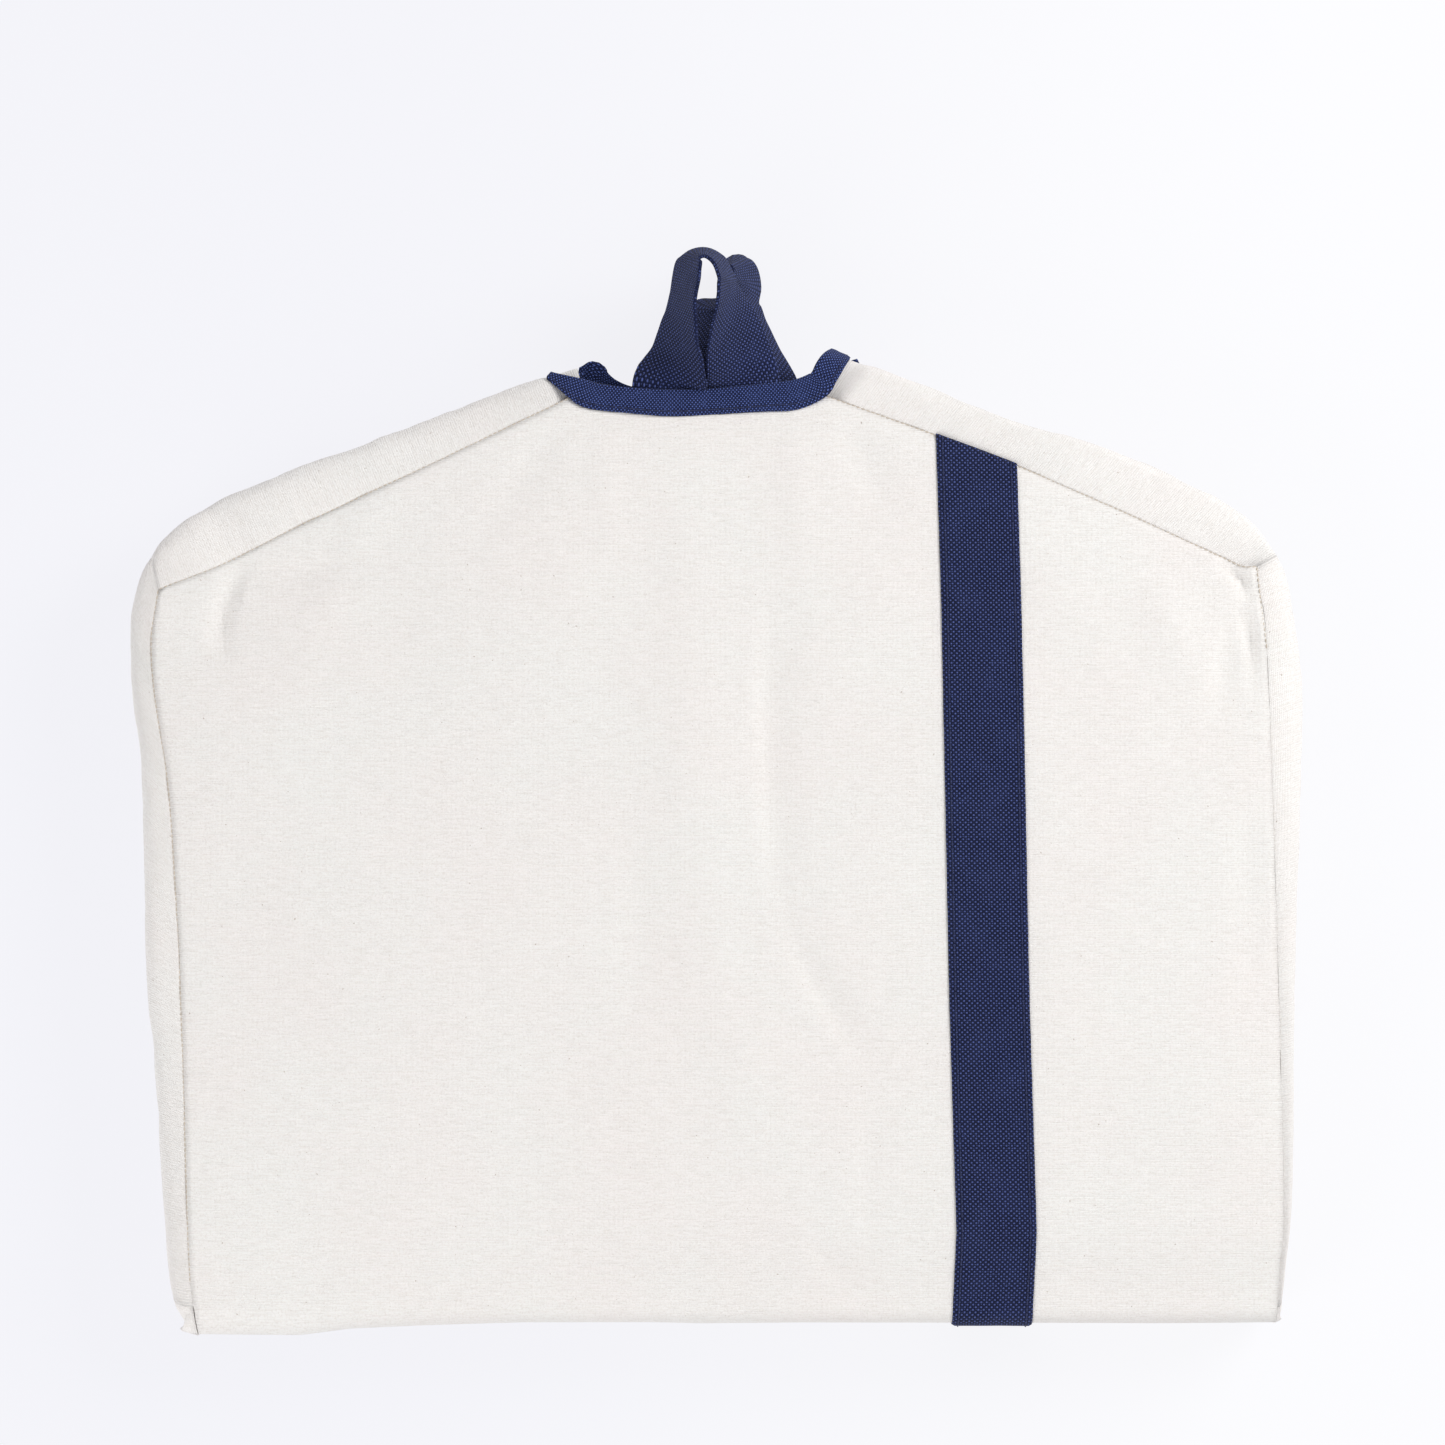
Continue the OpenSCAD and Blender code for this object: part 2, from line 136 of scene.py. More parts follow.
# --- Curves and noise ---

def spline(points, n):
    """n + 1 points, evenly spaced, on a smooth curve through the given points."""
    p = np.array(points, float)
    ends = np.vstack([2 * p[0] - p[1], p, 2 * p[-1] - p[-2]])
    s = np.linspace(0, 1, 24, endpoint=False)[:, None]
    parts = []
    for i in range(len(p) - 1):
        a, b, c, d = ends[i:i + 4]
        parts.append((2 * b + (c - a) * s + (2 * a - 5 * b + 4 * c - d) * s ** 2
                      + (3 * b - a - 3 * c + d) * s ** 3) / 2)
    dense = np.vstack(parts + [p[-1:]])
    return resample(dense, n)


def resample(points, n):
    """n + 1 points evenly spaced along a polyline."""
    along = lengths(points)
    at = np.linspace(0, along[-1], n + 1)
    return np.stack([np.interp(at, along, points[:, k]) for k in range(points.shape[1])], 1)


def lengths(points):
    """Distance along a polyline to each of its points."""
    return np.concatenate([[0], np.cumsum(np.linalg.norm(np.diff(points, axis=0), axis=1))])


def smooth(t):
    """0 below 0, 1 above 1, and an even curve between."""
    t = np.clip(t, 0, 1)
    return t * t * (3 - 2 * t)


def bell(distance, width):
    """1 at no distance, falling away to 0 over about twice the width."""
    return np.exp(-(distance / width) ** 2)


def noise(x, y, size, seed):
    """Smooth noise from -1 to 1, whose lumps are about size across."""
    table = np.random.default_rng(seed).uniform(-1, 1, (64, 64))
    u, v = x / size + 200.3, y / size + 200.7
    i, j = np.floor(u).astype(int), np.floor(v).astype(int)
    fu, fv = smooth(u - i), smooth(v - j)
    a, b = table[i % 64, j % 64], table[(i + 1) % 64, j % 64]
    c, d = table[i % 64, (j + 1) % 64], table[(i + 1) % 64, (j + 1) % 64]
    return (a * (1 - fu) + b * fu) * (1 - fv) + (c * (1 - fu) + d * fu) * fv


def unit(v):
    return v / np.maximum(np.linalg.norm(v, axis=-1, keepdims=True), 1e-9)


def grid_normals(points):
    """Unit normals at the points of a grid."""
    return unit(np.cross(np.gradient(points, axis=1), np.gradient(points, axis=0)))


def cell_areas(points):
    """For each cell of a grid of points, a vector along its normal and twice its area long."""
    return np.cross(points[1:, 1:] - points[:-1, :-1], points[1:, :-1] - points[:-1, 1:])


# --- Mesh building ---

def piece(name, points, faces, cloth=None):
    """A smooth-shaded mesh. cloth holds each point's place on the flat cloth, for its weave."""
    mesh = bpy.data.meshes.new(name)
    places = np.asarray(points, float).reshape(-1, 3) * MM
    mesh.from_pydata(places.tolist(), [], [[int(v) for v in face] for face in faces])
    mesh.polygons.foreach_set("use_smooth", [True] * len(mesh.polygons))
    if cloth is not None:
        c = np.asarray(cloth, float).reshape(-1, cloth.shape[-1])
        full = np.zeros((len(c), 3))
        full[:, :c.shape[1]] = c * MM
        attribute = mesh.attributes.new("cloth", "FLOAT_VECTOR", "POINT")
        attribute.data.foreach_set("vector", full.astype(np.float32).ravel())
    mesh.update()
    obj = bpy.data.objects.new(name, mesh)
    bpy.context.scene.collection.objects.link(obj)
    return obj


def grid_faces(rows, cols, ring=False):
    """Quads of a rows x cols grid of points, closed across its columns if ring."""
    i = np.arange(rows - 1)[:, None]
    j = np.arange(cols if ring else cols - 1)[None, :]
    k = (j + 1) % cols
    a, b, c, d = i * cols + j, i * cols + k, (i + 1) * cols + k, (i + 1) * cols + j
    return np.stack([np.broadcast_to(q, (rows - 1, j.size)) for q in (a, b, c, d)], -1).reshape(-1, 4)


def sheet_piece(name, points, cloth, thickness=CLOTH_T, facing=(0, 0, 1)):
    """A sheet of cloth from a grid of points on its outer face, which looks towards facing."""
    rows, cols = points.shape[:2]
    faces = grid_faces(rows, cols)
    if (cell_areas(points).sum((0, 1)) * facing).sum() < 0:
        faces = faces[:, ::-1]
    obj = piece(name, points, faces, cloth)
    solid = obj.modifiers.new("thickness", "SOLIDIFY")
    solid.thickness = thickness * MM
    solid.offset = -1
    solid.use_quality_normals = True
    return obj


def tube_faces(rows, cols, base=0):
    """Faces of a closed tube: its side, then its two ends. base is the number of its first point."""
    side = (grid_faces(rows, cols, ring=True) + base).tolist()
    first = [base + j for j in range(cols)]
    last = [base + (rows - 1) * cols + j for j in range(cols)]
    return side + [first[::-1], last]


def tube_piece(name, sections, cloth):
    """A closed solid through a stack of closed cross-sections, with flat ends."""
    return piece(name, sections, tube_faces(*sections.shape[:2]), cloth)


def band_profile(width, thick, across=14, edge=0.5):
    """Cross-section of a woven band: pairs of (across, up), with rounded selvages."""
    s = np.linspace(-1, 1, across)
    top = np.stack([s * (width / 2 - edge), np.full(across, thick / 2)], 1)
    turn = np.linspace(PI / 2, -PI / 2, 5)[1:-1]
    right = np.stack([width / 2 - edge + edge * np.cos(turn), thick / 2 * np.sin(turn)], 1)
    return np.vstack([top, right, -top, -right])


def band(name, centre, across, width, thick):
    """A woven band along centre, whose width lies along the vectors in across."""
    t = unit(np.gradient(centre, axis=0))
    w = unit(across - t * (across * t).sum(1, keepdims=True))
    up = np.cross(w, t)
    profile = band_profile(width, thick)
    sections = centre[:, None] + w[:, None] * profile[None, :, :1] + up[:, None] * profile[None, :, 1:]
    run = lengths(centre)
    cloth = np.stack([np.broadcast_to(profile[:, 0], sections.shape[:2]),
                      np.broadcast_to(run[:, None], sections.shape[:2])], -1)
    return tube_piece(name, sections, cloth)


def stitch_row(path, normal, pitch=3.6, radius=0.3, sink=0.25):
    """Sections of thread lying along path: each stitch rises from the cloth and dives back in."""
    n = max(2, int(lengths(path)[-1] / pitch))
    at = resample(np.hstack([path, normal]), n)
    points, faces = [], []
    ring, rows = 6, 6
    turn = np.linspace(0, 2 * PI, ring, endpoint=False)
    for i in range(n):
        a, b = at[i, :3], at[i + 1, :3]
        up = unit(at[i, 3:])
        t = unit(b - a)
        side = np.cross(t, up)
        s = np.linspace(0.08, 0.92, rows)
        lift = np.sin(s * PI) * (sink + radius * 0.9) - sink
        thin = 0.55 + 0.45 * np.sin(s * PI)
        centre = a + (b - a) * s[:, None] + up * lift[:, None]
        section = (centre[:, None] + (side[None, None] * np.cos(turn)[None, :, None]
                   + up[None, None] * np.sin(turn)[None, :, None]) * radius * thin[:, None, None])
        points.append(section.reshape(-1, 3))
        faces += tube_faces(rows, ring, i * rows * ring)
    return np.vstack(points), faces


def stitches(name, rows, **kind):
    """One piece holding several rows of stitches; each row is (path, normal)."""
    points, faces, count = [], [], 0
    for path, normal in rows:
        p, f = stitch_row(path, normal, **kind)
        points.append(p)
        faces += [[v + count for v in face] for face in f]
        count += len(p)
    return piece(name, np.vstack(points), faces, np.vstack(points)[:, :2])


# --- Materials ---

def material(name, base, roughness, sheen=0.0):
    """A new Principled material and its shader."""
    m = bpy.data.materials.new(name)
    m.use_nodes = True
    shader = m.node_tree.nodes["Principled BSDF"]
    shader.inputs["Base Color"].default_value = (*base, 1)
    shader.inputs["Roughness"].default_value = roughness
    shader.inputs["Specular IOR Level"].default_value = 0.25
    if sheen:
        shader.inputs["Sheen Weight"].default_value = sheen
        shader.inputs["Sheen Roughness"].default_value = 0.55
    return m, shader


class Nodes:
    """Short forms for the nodes that the materials are built from."""

    def __init__(self, m):
        self.tree = m.node_tree

    def add(self, kind, **settings):
        node = self.tree.nodes.new(kind)
        for key, value in settings.items():
            setattr(node, key, value)
        return node

    def link(self, a, b):
        self.tree.links.new(a, b)

    def math(self, operation, a, b=None, c=None):
        node = self.add("ShaderNodeMath", operation=operation)
        for socket, value in zip(node.inputs, (a, b, c)):
            if value is None:
                continue
            if isinstance(value, (int, float)):
                socket.default_value = value
            else:
                self.link(value, socket)
        return node.outputs[0]

    def cloth(self):
        """The cloth's own coordinates, in millimetres, as (across, along)."""
        attribute = self.add("ShaderNodeAttribute", attribute_name="cloth")
        scale = self.add("ShaderNodeVectorMath", operation="SCALE")
        self.link(attribute.outputs["Vector"], scale.inputs[0])
        scale.inputs["Scale"].default_value = 1 / MM
        return scale.outputs[0]

    def stretched(self, vector, x, y):
        """The vector with its axes scaled, to draw noise out into threads."""
        node = self.add("ShaderNodeMapping")
        self.link(vector, node.inputs["Vector"])
        node.inputs["Scale"].default_value = (x, y, 1)
        return node.outputs[0]

    def noise(self, vector, scale, detail=2.0, rough=0.5):
        node = self.add("ShaderNodeTexNoise")
        self.link(vector, node.inputs["Vector"])
        node.inputs["Scale"].default_value = scale
        node.inputs["Detail"].default_value = detail
        node.inputs["Roughness"].default_value = rough
        return node.outputs["Fac"]

    def mix(self, factor, a, b):
        node = self.add("ShaderNodeMix", data_type="RGBA")
        for socket, value in ((node.inputs[0], factor), (node.inputs[6], a), (node.inputs[7], b)):
            if isinstance(value, tuple):
                socket.default_value = (*value, 1)
            elif isinstance(value, (int, float)):
                socket.default_value = value
            else:
                self.link(value, socket)
        return node.outputs[2]

    def tint(self, base, colour, value, a, b, amount):
        """The base tinted with a colour where value climbs from a to b, by at most amount."""
        return self.mix(self.math("MULTIPLY", self.ramp(value, a, b), amount), base, colour)

    def ramp(self, value, a, b):
        """value mapped so that a gives 0 and b gives 1, with smooth ends."""
        node = self.add("ShaderNodeMapRange", interpolation_type="SMOOTHSTEP")
        self.link(value, node.inputs["Value"])
        node.inputs["From Min"].default_value = a
        node.inputs["From Max"].default_value = b
        return node.outputs["Result"]

    def weave(self, vector, warp, weft, waver=0.25):
        """A plain weave's height, 0 to 1.25, and the domes of its over-threads, 0 to 1.

        warp and weft are the threads' spacing, and waver how far they stray, as a share of it."""
        wobble = self.add("ShaderNodeTexNoise", noise_dimensions="2D")
        self.link(vector, wobble.inputs["Vector"])
        wobble.inputs["Scale"].default_value = 0.18
        shift = self.add("ShaderNodeVectorMath", operation="MULTIPLY_ADD")
        self.link(wobble.outputs["Color"], shift.inputs[0])
        shift.inputs[1].default_value = (waver * warp, waver * weft, 0)
        self.link(vector, shift.inputs[2])
        xyz = self.add("ShaderNodeSeparateXYZ")
        self.link(shift.outputs[0], xyz.inputs[0])
        u = self.math("MULTIPLY", xyz.outputs[0], 1 / warp)
        v = self.math("MULTIPLY", xyz.outputs[1], 1 / weft)
        row, column = self.math("FLOOR", v), self.math("FLOOR", u)
        over = self.math("MODULO", self.math("ABSOLUTE", self.math("ADD", row, column)), 2.0)
        across = self.math("ABSOLUTE", self.math("SINE", self.math("MULTIPLY", u, PI)))
        along = self.math("ABSOLUTE", self.math("SINE", self.math("MULTIPLY", v, PI)))
        under = self.math("SUBTRACT", 1.0, over)
        warp_h = self.math("MULTIPLY", across, self.math("MULTIPLY_ADD", over, along, 0.25))
        weft_h = self.math("MULTIPLY", along, self.math("MULTIPLY_ADD", under, across, 0.25))
        dots = self.math("MULTIPLY", self.math("MULTIPLY", across, along), over)
        return self.math("MAXIMUM", warp_h, weft_h), dots

    def bump(self, shader, height, distance, strength=1.0):
        node = self.add("ShaderNodeBump")
        node.inputs["Distance"].default_value = distance * MM
        node.inputs["Strength"].default_value = strength
        self.link(height, node.inputs["Height"])
        self.link(node.outputs[0], shader.inputs["Normal"])


def canvas_material():
    """Natural cotton duck: fine plain weave, uneven threads, and dark seed flecks, with painted shade in the
    weave's gaps.
    """
    m, shader = material("canvas", (0.87, 0.83, 0.785), 0.9, sheen=0.1)
    n = Nodes(m)
    cloth = n.cloth()
    weave = n.weave(cloth, warp=0.62, weft=1.15, waver=0.6)[0]
    weft = n.noise(n.stretched(cloth, 0.12, 1.25), 1.0, 3.0)
    warp = n.noise(n.stretched(cloth, 1.3, 0.16), 1.0, 3.0)
    grain = n.noise(cloth, 0.85, 3.0, 0.75)
    tone = n.noise(cloth, 0.012, 3.0)
    seeds = n.noise(cloth, 0.55, 1.0)
    pale = n.mix(n.ramp(tone, 0.3, 0.7), (0.928, 0.888, 0.858), (0.92, 0.905, 0.873))
    # Painted shade: the colour darkens where the weave is low, between the threads.
    gap_shaded = n.mix(n.math("MULTIPLY", n.math("SUBTRACT", 1.0, weave), 0.13), pale, (0.68, 0.61, 0.54))
    wefts = n.tint(gap_shaded, (0.74, 0.68, 0.62), weft, 0.42, 0.68, 0.26)
    warps = n.tint(wefts, (0.99, 0.96, 0.92), warp, 0.45, 0.7, 0.16)
    speckled = n.tint(warps, (0.7, 0.64, 0.58), grain, 0.48, 0.66, 0.42)
    flecked = n.tint(speckled, (0.36, 0.27, 0.2), seeds, 0.765, 0.80, 0.6)
    n.link(flecked, shader.inputs["Base Color"])
    height = n.math("ADD", weave, n.math("MULTIPLY", n.math("ADD", weft, grain), 0.9))
    n.bump(shader, height, 0.2, 1.0)
    return m


def webbing_material(name, bright, gap_shade, warp, weft, depth):
    """Coarse cotton webbing with plump threads, raised by depth. The colour of their tops carries a painted
    highlight, and the colour between them is painted shade.
    """
    m, shader = material(name, bright, 0.85, sheen=0.05)
    shader.inputs["Specular IOR Level"].default_value = 0.12
    n = Nodes(m)
    cloth = n.cloth()
    weave, dots = n.weave(cloth, warp, weft, waver=0.3)
    fibre = n.noise(cloth, 1.6, 4.0, 0.65)
    patch = n.noise(cloth, 0.06, 2.0)
    pale = tuple(min(1.0, c * 1.6 + 0.006) for c in bright)
    # Painted highlight on the over-threads' domes, and painted shade between them.
    tone = n.mix(n.ramp(dots, 0.12, 0.9), gap_shade, bright)
    # Paler on the raised threads where the fibre noise is high.
    raised_paler = n.mix(n.math("MULTIPLY", n.ramp(fibre, 0.52, 0.75), n.ramp(weave, 0.2, 0.9)), tone, pale)
    aged = n.tint(raised_paler, pale, patch, 0.4, 0.7, 0.03)
    n.link(aged, shader.inputs["Base Color"])
    height = n.math("ADD", weave, n.math("MULTIPLY", fibre, 0.25))
    n.bump(shader, height, depth, 1.0)
    return m


def thread_material(name, base):
    """Twisted sewing thread."""
    m, shader = material(name, base, 0.7, sheen=0.1)
    n = Nodes(m)
    where = n.add("ShaderNodeTexCoord").outputs["Object"]
    fuzz = n.noise(where, 2500, 2.0)
    tone = n.mix(n.math("MULTIPLY", fuzz, 0.5), base, tuple(c * 0.6 for c in base))
    n.link(tone, shader.inputs["Base Color"])
    n.bump(shader, fuzz, 0.08, 0.6)
    return m


def metal_material():
    """Satin antique brass, darker where it isn't rubbed."""
    m, shader = material("zipper_brass", (0.56, 0.42, 0.2), 0.34)
    shader.inputs["Metallic"].default_value = 1.0
    n = Nodes(m)
    where = n.add("ShaderNodeTexCoord").outputs["Object"]
    grain = n.noise(where, 900, 3.0)
    patch = n.noise(where, 140, 2.0)
    tone = n.mix(n.ramp(patch, 0.35, 0.7), (0.44, 0.32, 0.15), (0.62, 0.47, 0.23))
    n.link(tone, shader.inputs["Base Color"])
    n.link(n.math("MULTIPLY_ADD", grain, 0.2, 0.24), shader.inputs["Roughness"])
    n.bump(shader, grain, 0.03, 0.4)
    return m


# Webbing colours come in pairs: the first is the thread tops, brightened as a painted highlight, and the
# second is painted shade between the threads.
NAVY = (0.08, 0.11, 0.305)
NAVY_GAP_SHADE = (0.005, 0.008, 0.034)
BINDING_NAVY = (0.102, 0.15, 0.42)
BINDING_GAP_SHADE = (0.006, 0.01, 0.042)
TAPE_PALE = (0.74, 0.7, 0.63)
TAPE_GAP_SHADE = (0.5, 0.46, 0.4)
CANVAS = canvas_material()
WEBBING = webbing_material("navy_webbing", NAVY, NAVY_GAP_SHADE, warp=1.35, weft=1.2, depth=0.5)
BINDING = webbing_material("navy_binding", BINDING_NAVY, BINDING_GAP_SHADE, warp=1.0, weft=0.9, depth=0.3)
TAPE = webbing_material("zipper_tape", TAPE_PALE, TAPE_GAP_SHADE, warp=0.6, weft=0.5, depth=0.12)
NAVY_THREAD = thread_material("navy_thread", (0.022, 0.03, 0.09))
TAN_THREAD = thread_material("natural_thread", (0.72, 0.62, 0.5))
METAL = metal_material()


def dress(obj, mat, slot, *nodes):
    """Gives a piece its material and hides the CAD nodes it stands for. slot is not used."""
    obj.data.materials.append(mat)
    if nodes:
        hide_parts(*nodes)
    return obj


def hold_to(body):
    """Lets a piece ride one body."""
    return lambda obj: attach(obj, body)


def bend_upper(obj):
    """For a piece that runs round the fold's spine into the upper half: bakes its placement into its mesh."""
    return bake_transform(obj)


def bend_lower(obj):
    """For a piece that runs from the lower half round the fold's rounded edge onto the spine: bakes its
    placement into its mesh.
    """
    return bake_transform(obj)


SHORTEST_SIDE = 10.5  # of a sheet's worked-out flat size
LEAST_FILL = 0.3  # the least share of that rectangle its cloth may fill


def declare_cloth(obj, points, held, *rests_on):
    """Works out a sheet's flat size from its cut (its longest row and its longest column) and its area, but
    declares nothing.
    """
    across = np.linalg.norm(np.diff(points, axis=1), axis=2).sum(1)
    along = np.linalg.norm(np.diff(points, axis=0), axis=2).sum(0)
    width, length = max(across.max(), SHORTEST_SIDE) * MM, max(along.max(), SHORTEST_SIDE) * MM
    area = np.linalg.norm(cell_areas(points), axis=2).sum() / 2 * MM * MM
    area = min(max(area, LEAST_FILL * width * length), width * length)
    return obj


# --- The soft shape of the cloth ---

# Creases and ridges of the upper back panel: path, spread to its left and right, and height.
FOLDS = [
    ([(-240, 112), (-222, 108), (-196, 110), (-172, 115)], 6, 9, -2.2),
    ([(-230, 123), (-200, 131), (-172, 139)], 7, 7, 1.0),
    ([(-234, 116), (-242, 98), (-246, 80), (-245, 62)], 3.5, 7, -3.0),
    ([(-262, 84), (-244, 78), (-228, 66), (-205, 62)], 9, 9, -1.2),
    ([(-150, 168), (-178, 128), (-196, 92), (-214, 60)], 12, 9, 0.9),
    ([(-77, 185), (-100, 150), (-124, 122)], 9, 9, -1.0),
    ([(-13, 183), (-16, 90), (-8, -55), (14, -150), (30, -200)], 22, 20, 1.5),
    ([(-41, -10), (-40, -60), (-42, -108)], 9, 9, -0.7),
    ([(26, 92), (25, 30), (27, -20), (34, -70)], 12, 5, -1.9),
    ([(34, -72), (46, -92), (62, -118), (74, -134)], 8, 4.5, -2.3),
    ([(46, -226), (58, -240), (72, -256)], 6, 4, -1.8),
    ([(76, -155), (75, -190), (74, -226)], 8, 6, -0.8),
    ([(30, -150), (60, -152), (90, -150)], 6, 6, -0.6),
    ([(62, 180), (74, 160), (84, 138)], 9, 9, -1.3),
    ([(38, 186), (40, 150), (44, 100)], 9, 9, 0.8),
    ([(-58, 186), (-56, 150), (-50, 110)], 9, 9, 0.8),
    ([(252, 112), (261, 104), (266, 93)], 3.5, 2.5, -3.4),
    ([(262, 92), (264, 80), (267, 66), (267, 50)], 4, 2.5, -3.4),
    ([(257, 84), (253, 62), (249, 40)], 7, 5, -1.7),
    ([(236, 52), (228, 80), (214, 104)], 14, 10, 1.3),
    ([(256, 36), (216, 6), (172, -34)], 11, 11, -0.7),
    ([(264, -6), (265, -60), (266, -108)], 8, 8, -0.8),
    ([(-245, -42), (-228, -46), (-205, -40)], 7, 7, -0.5),
    ([(-196, -258), (-150, -246), (-96, -250), (-40, -256)], 10, 10, -0.9),
]
FOLD_SCALE = 1.4  # brings out every height in FOLDS alike


def fold_height(x, y, path, left, right, height):
    """Height of one crease at (x, y): a smooth ridge along a polyline, fading at its ends."""
    p = spline(path, 24)
    best = np.full(x.shape, 1e9)
    side = np.zeros(x.shape)
    share = np.zeros(x.shape)
    for i in range(len(p) - 1):
        a, d = p[i], p[i + 1] - p[i]
        size = d @ d
        s = np.clip(((x - a[0]) * d[0] + (y - a[1]) * d[1]) / size, 0, 1)
        rx, ry = x - a[0] - s * d[0], y - a[1] - s * d[1]
        far = np.hypot(rx, ry)
        near = far < best
        best = np.where(near, far, best)
        side = np.where(near, d[0] * ry - d[1] * rx, side)
        share = np.where(near, (i + s) / (len(p) - 1), share)
    spread = np.where(side > 0, left, right)
    fade = np.sin(np.clip(share, 0.02, 0.98) * PI) ** 0.6
    return height * fade * bell(best, spread)


def at_y(line, y):
    """x of a line that climbs in y, at height y."""
    return np.interp(y, [p[1] for p in line], [p[0] for p in line])


def to_sides(x, y, left, right):
    """Distance in from the nearer side seam."""
    return np.minimum(x - at_y(left, y), at_y(right, y) - x)


def to_shoulder(x, y):
    """Distance below the shoulder seams and the neckline."""
    line = LEFT_SHOULDER + NECKLINE[1:] + RIGHT_SHOULDER[1:]
    return np.interp(x, [p[0] for p in line], [p[1] for p in line]) - y


def swell(distance, reach):
    """0 at an edge, rising to 1 well inside it."""
    return 1 - np.exp(-np.clip(distance, 0, None) / reach)


def near_fold(y):
    """Rises from 0 on the open panel to 1 where the fold's rounded edge begins."""
    return smooth((FOLD_Y + FOLD_REACH - y) / (FOLD_REACH - NOSE)) ** 1.3


def surface(x, y):
    """How far the upper back panel's cloth stands above its seams' level."""
    side = to_sides(x, y, LEFT_SEAM, RIGHT_SEAM)
    shoulder = to_shoulder(x, y)
    edge = swell(side, 34) * swell(shoulder, 40)
    broad = swell(x - at_y(LEFT_SEAM, y), 120) * swell(shoulder, 110)
    crown = 3.4 * edge + 6.0 * broad
    crown += 1.5 * noise(x, y, 75, 3) * edge + 0.45 * noise(x, y, 30, 5) * edge
    crown -= DROP * near_fold(y)
    calm = smooth((y - NOSE_Y) / 30)  # no creases beside the fold
    for fold in FOLDS:
        crown = crown + FOLD_SCALE * fold_height(x, y, *fold) * calm
    gather = np.exp(-np.clip(side, 0, None) / 9)
    crown += 0.5 * gather * noise(x, y, 11, 8)
    # The seam's groove is shallow under the neck's binding and at the lower right.
    neck = smooth((x + 82) / 10) * smooth((64 - x) / 10)
    slack = 0.75 * smooth((x - 200) / 20) * smooth((60 - y) / 60)
    groove = bell(side, 1.7) * (1 - slack)
    groove = groove + bell(shoulder, 1.6) * (1 - 0.7 * neck)
    return crown - GROOVE * np.clip(groove, 0, 1)


def nose_line(x):
    """How far the fold's edge stands out from the CAD spine, along the fold."""
    return np.interp(x, [-270, -208, -183, -143, -98, -33, -8, 41, 141, 216, 280],
                     [5.6, 5.8, 2.4, 0.6, -0.8, -1.0, -0.4, -1.0, -0.8, -0.4, -0.8])


QUARTER = PI / 2 * NOSE  # length of cloth in the fold's quarter round
NOSE_RUN = QUARTER + NOSE_Z - NOSE - SPINE_MID  # length from NOSE_Y to the spine's middle


def round_fold(x, y, z, down):
    """Takes cloth round the fold: past NOSE_Y a quarter round, then straight to the spine's middle."""
    turn = np.clip(down / QUARTER, 0, 1) * PI / 2
    out = nose_line(x) * smooth(down / QUARTER)
    rest = np.clip((down - QUARTER) / (NOSE_RUN - QUARTER), 0, 1)
    low_z = z - NOSE * (1 - np.cos(turn))
    py = np.where(down > 0, NOSE_Y - NOSE * np.sin(turn), y) - out
    pz = np.where(rest > 0, (z - NOSE) * (1 - rest) + SPINE_MID * rest, low_z)
    return np.stack([x, py, pz], -1)


def upper_point(x, y):
    """A point of the top face. Below NOSE_Y, y is measured round the fold."""
    z = TOP_Z - FACE_INSET + surface(x, np.maximum(y, NOSE_Y))
    return round_fold(x, y, z, np.clip(NOSE_Y - y, 0, None))


def lower_surface(x, y):
    """Height of the bottom face: flat on the floor, over the stripe, and up towards the fold."""
    side = to_sides(x, y, LEFT_LOW, RIGHT_LOW)
    groove = bell(side, 2.6) + bell(HEM_Y - y, 2.4)
    across = np.abs(x - STRIPE_X) - STRIPE_W / 2
    z = 0.5 + 0.5 * (noise(x, y, 60, 21) + 1) * smooth(side / 40) + 1.7 * np.clip(groove, 0, 1)
    z = z + np.clip(WEBBING_T + 0.3 - z, 0, None) * smooth((3 - across) / 3)
    rise = TOP_Z - NOSE_Z - 0.4
    return z + rise * near_fold(y)


def lower_point(x, y):
    """A point of the bottom face, mirrored from the way the top face rounds the fold."""
    z = TOP_Z - lower_surface(x, np.maximum(y, NOSE_Y))
    point = round_fold(x, y, z, np.clip(NOSE_Y - y, 0, None))
    point[..., 2] = TOP_Z - point[..., 2]
    return point


FACE = {"upper": upper_point, "lower": lower_point}


def coons(bottom, top, left, right):
    """A grid of points filling four edges: bottom and top run across, left and right run up."""
    u = np.linspace(0, 1, len(bottom))[None, :, None]
    v = np.linspace(0, 1, len(left))[:, None, None]
    along = bottom[None] * (1 - v) + top[None] * v
    across = left[:, None] * (1 - u) + right[:, None] * u
    corners = (bottom[0] * (1 - u) + bottom[-1] * u) * (1 - v) + (top[0] * (1 - u) + top[-1] * u) * v
    return along + across - corners


def straight(a, b, n):
    """n + 1 points evenly spaced from a to b."""
    s = np.linspace(0, 1, n + 1)[:, None]
    return np.array(a, float) * (1 - s) + np.array(b, float) * s


def by_share(line, columns):
    """columns + 1 points on a line, evenly spaced in x."""
    x = np.linspace(line[0, 0], line[-1, 0], columns + 1)
    return np.stack([x, np.interp(x, line[:, 0], line[:, 1])], 1)


def beyond(line, y):
    """The part of a seam that lies beyond y, starting exactly there."""
    dense = spline(line, 200)
    keep = dense[dense[:, 1] > y]
    return np.vstack([[at_y(dense.tolist(), y), y], keep])


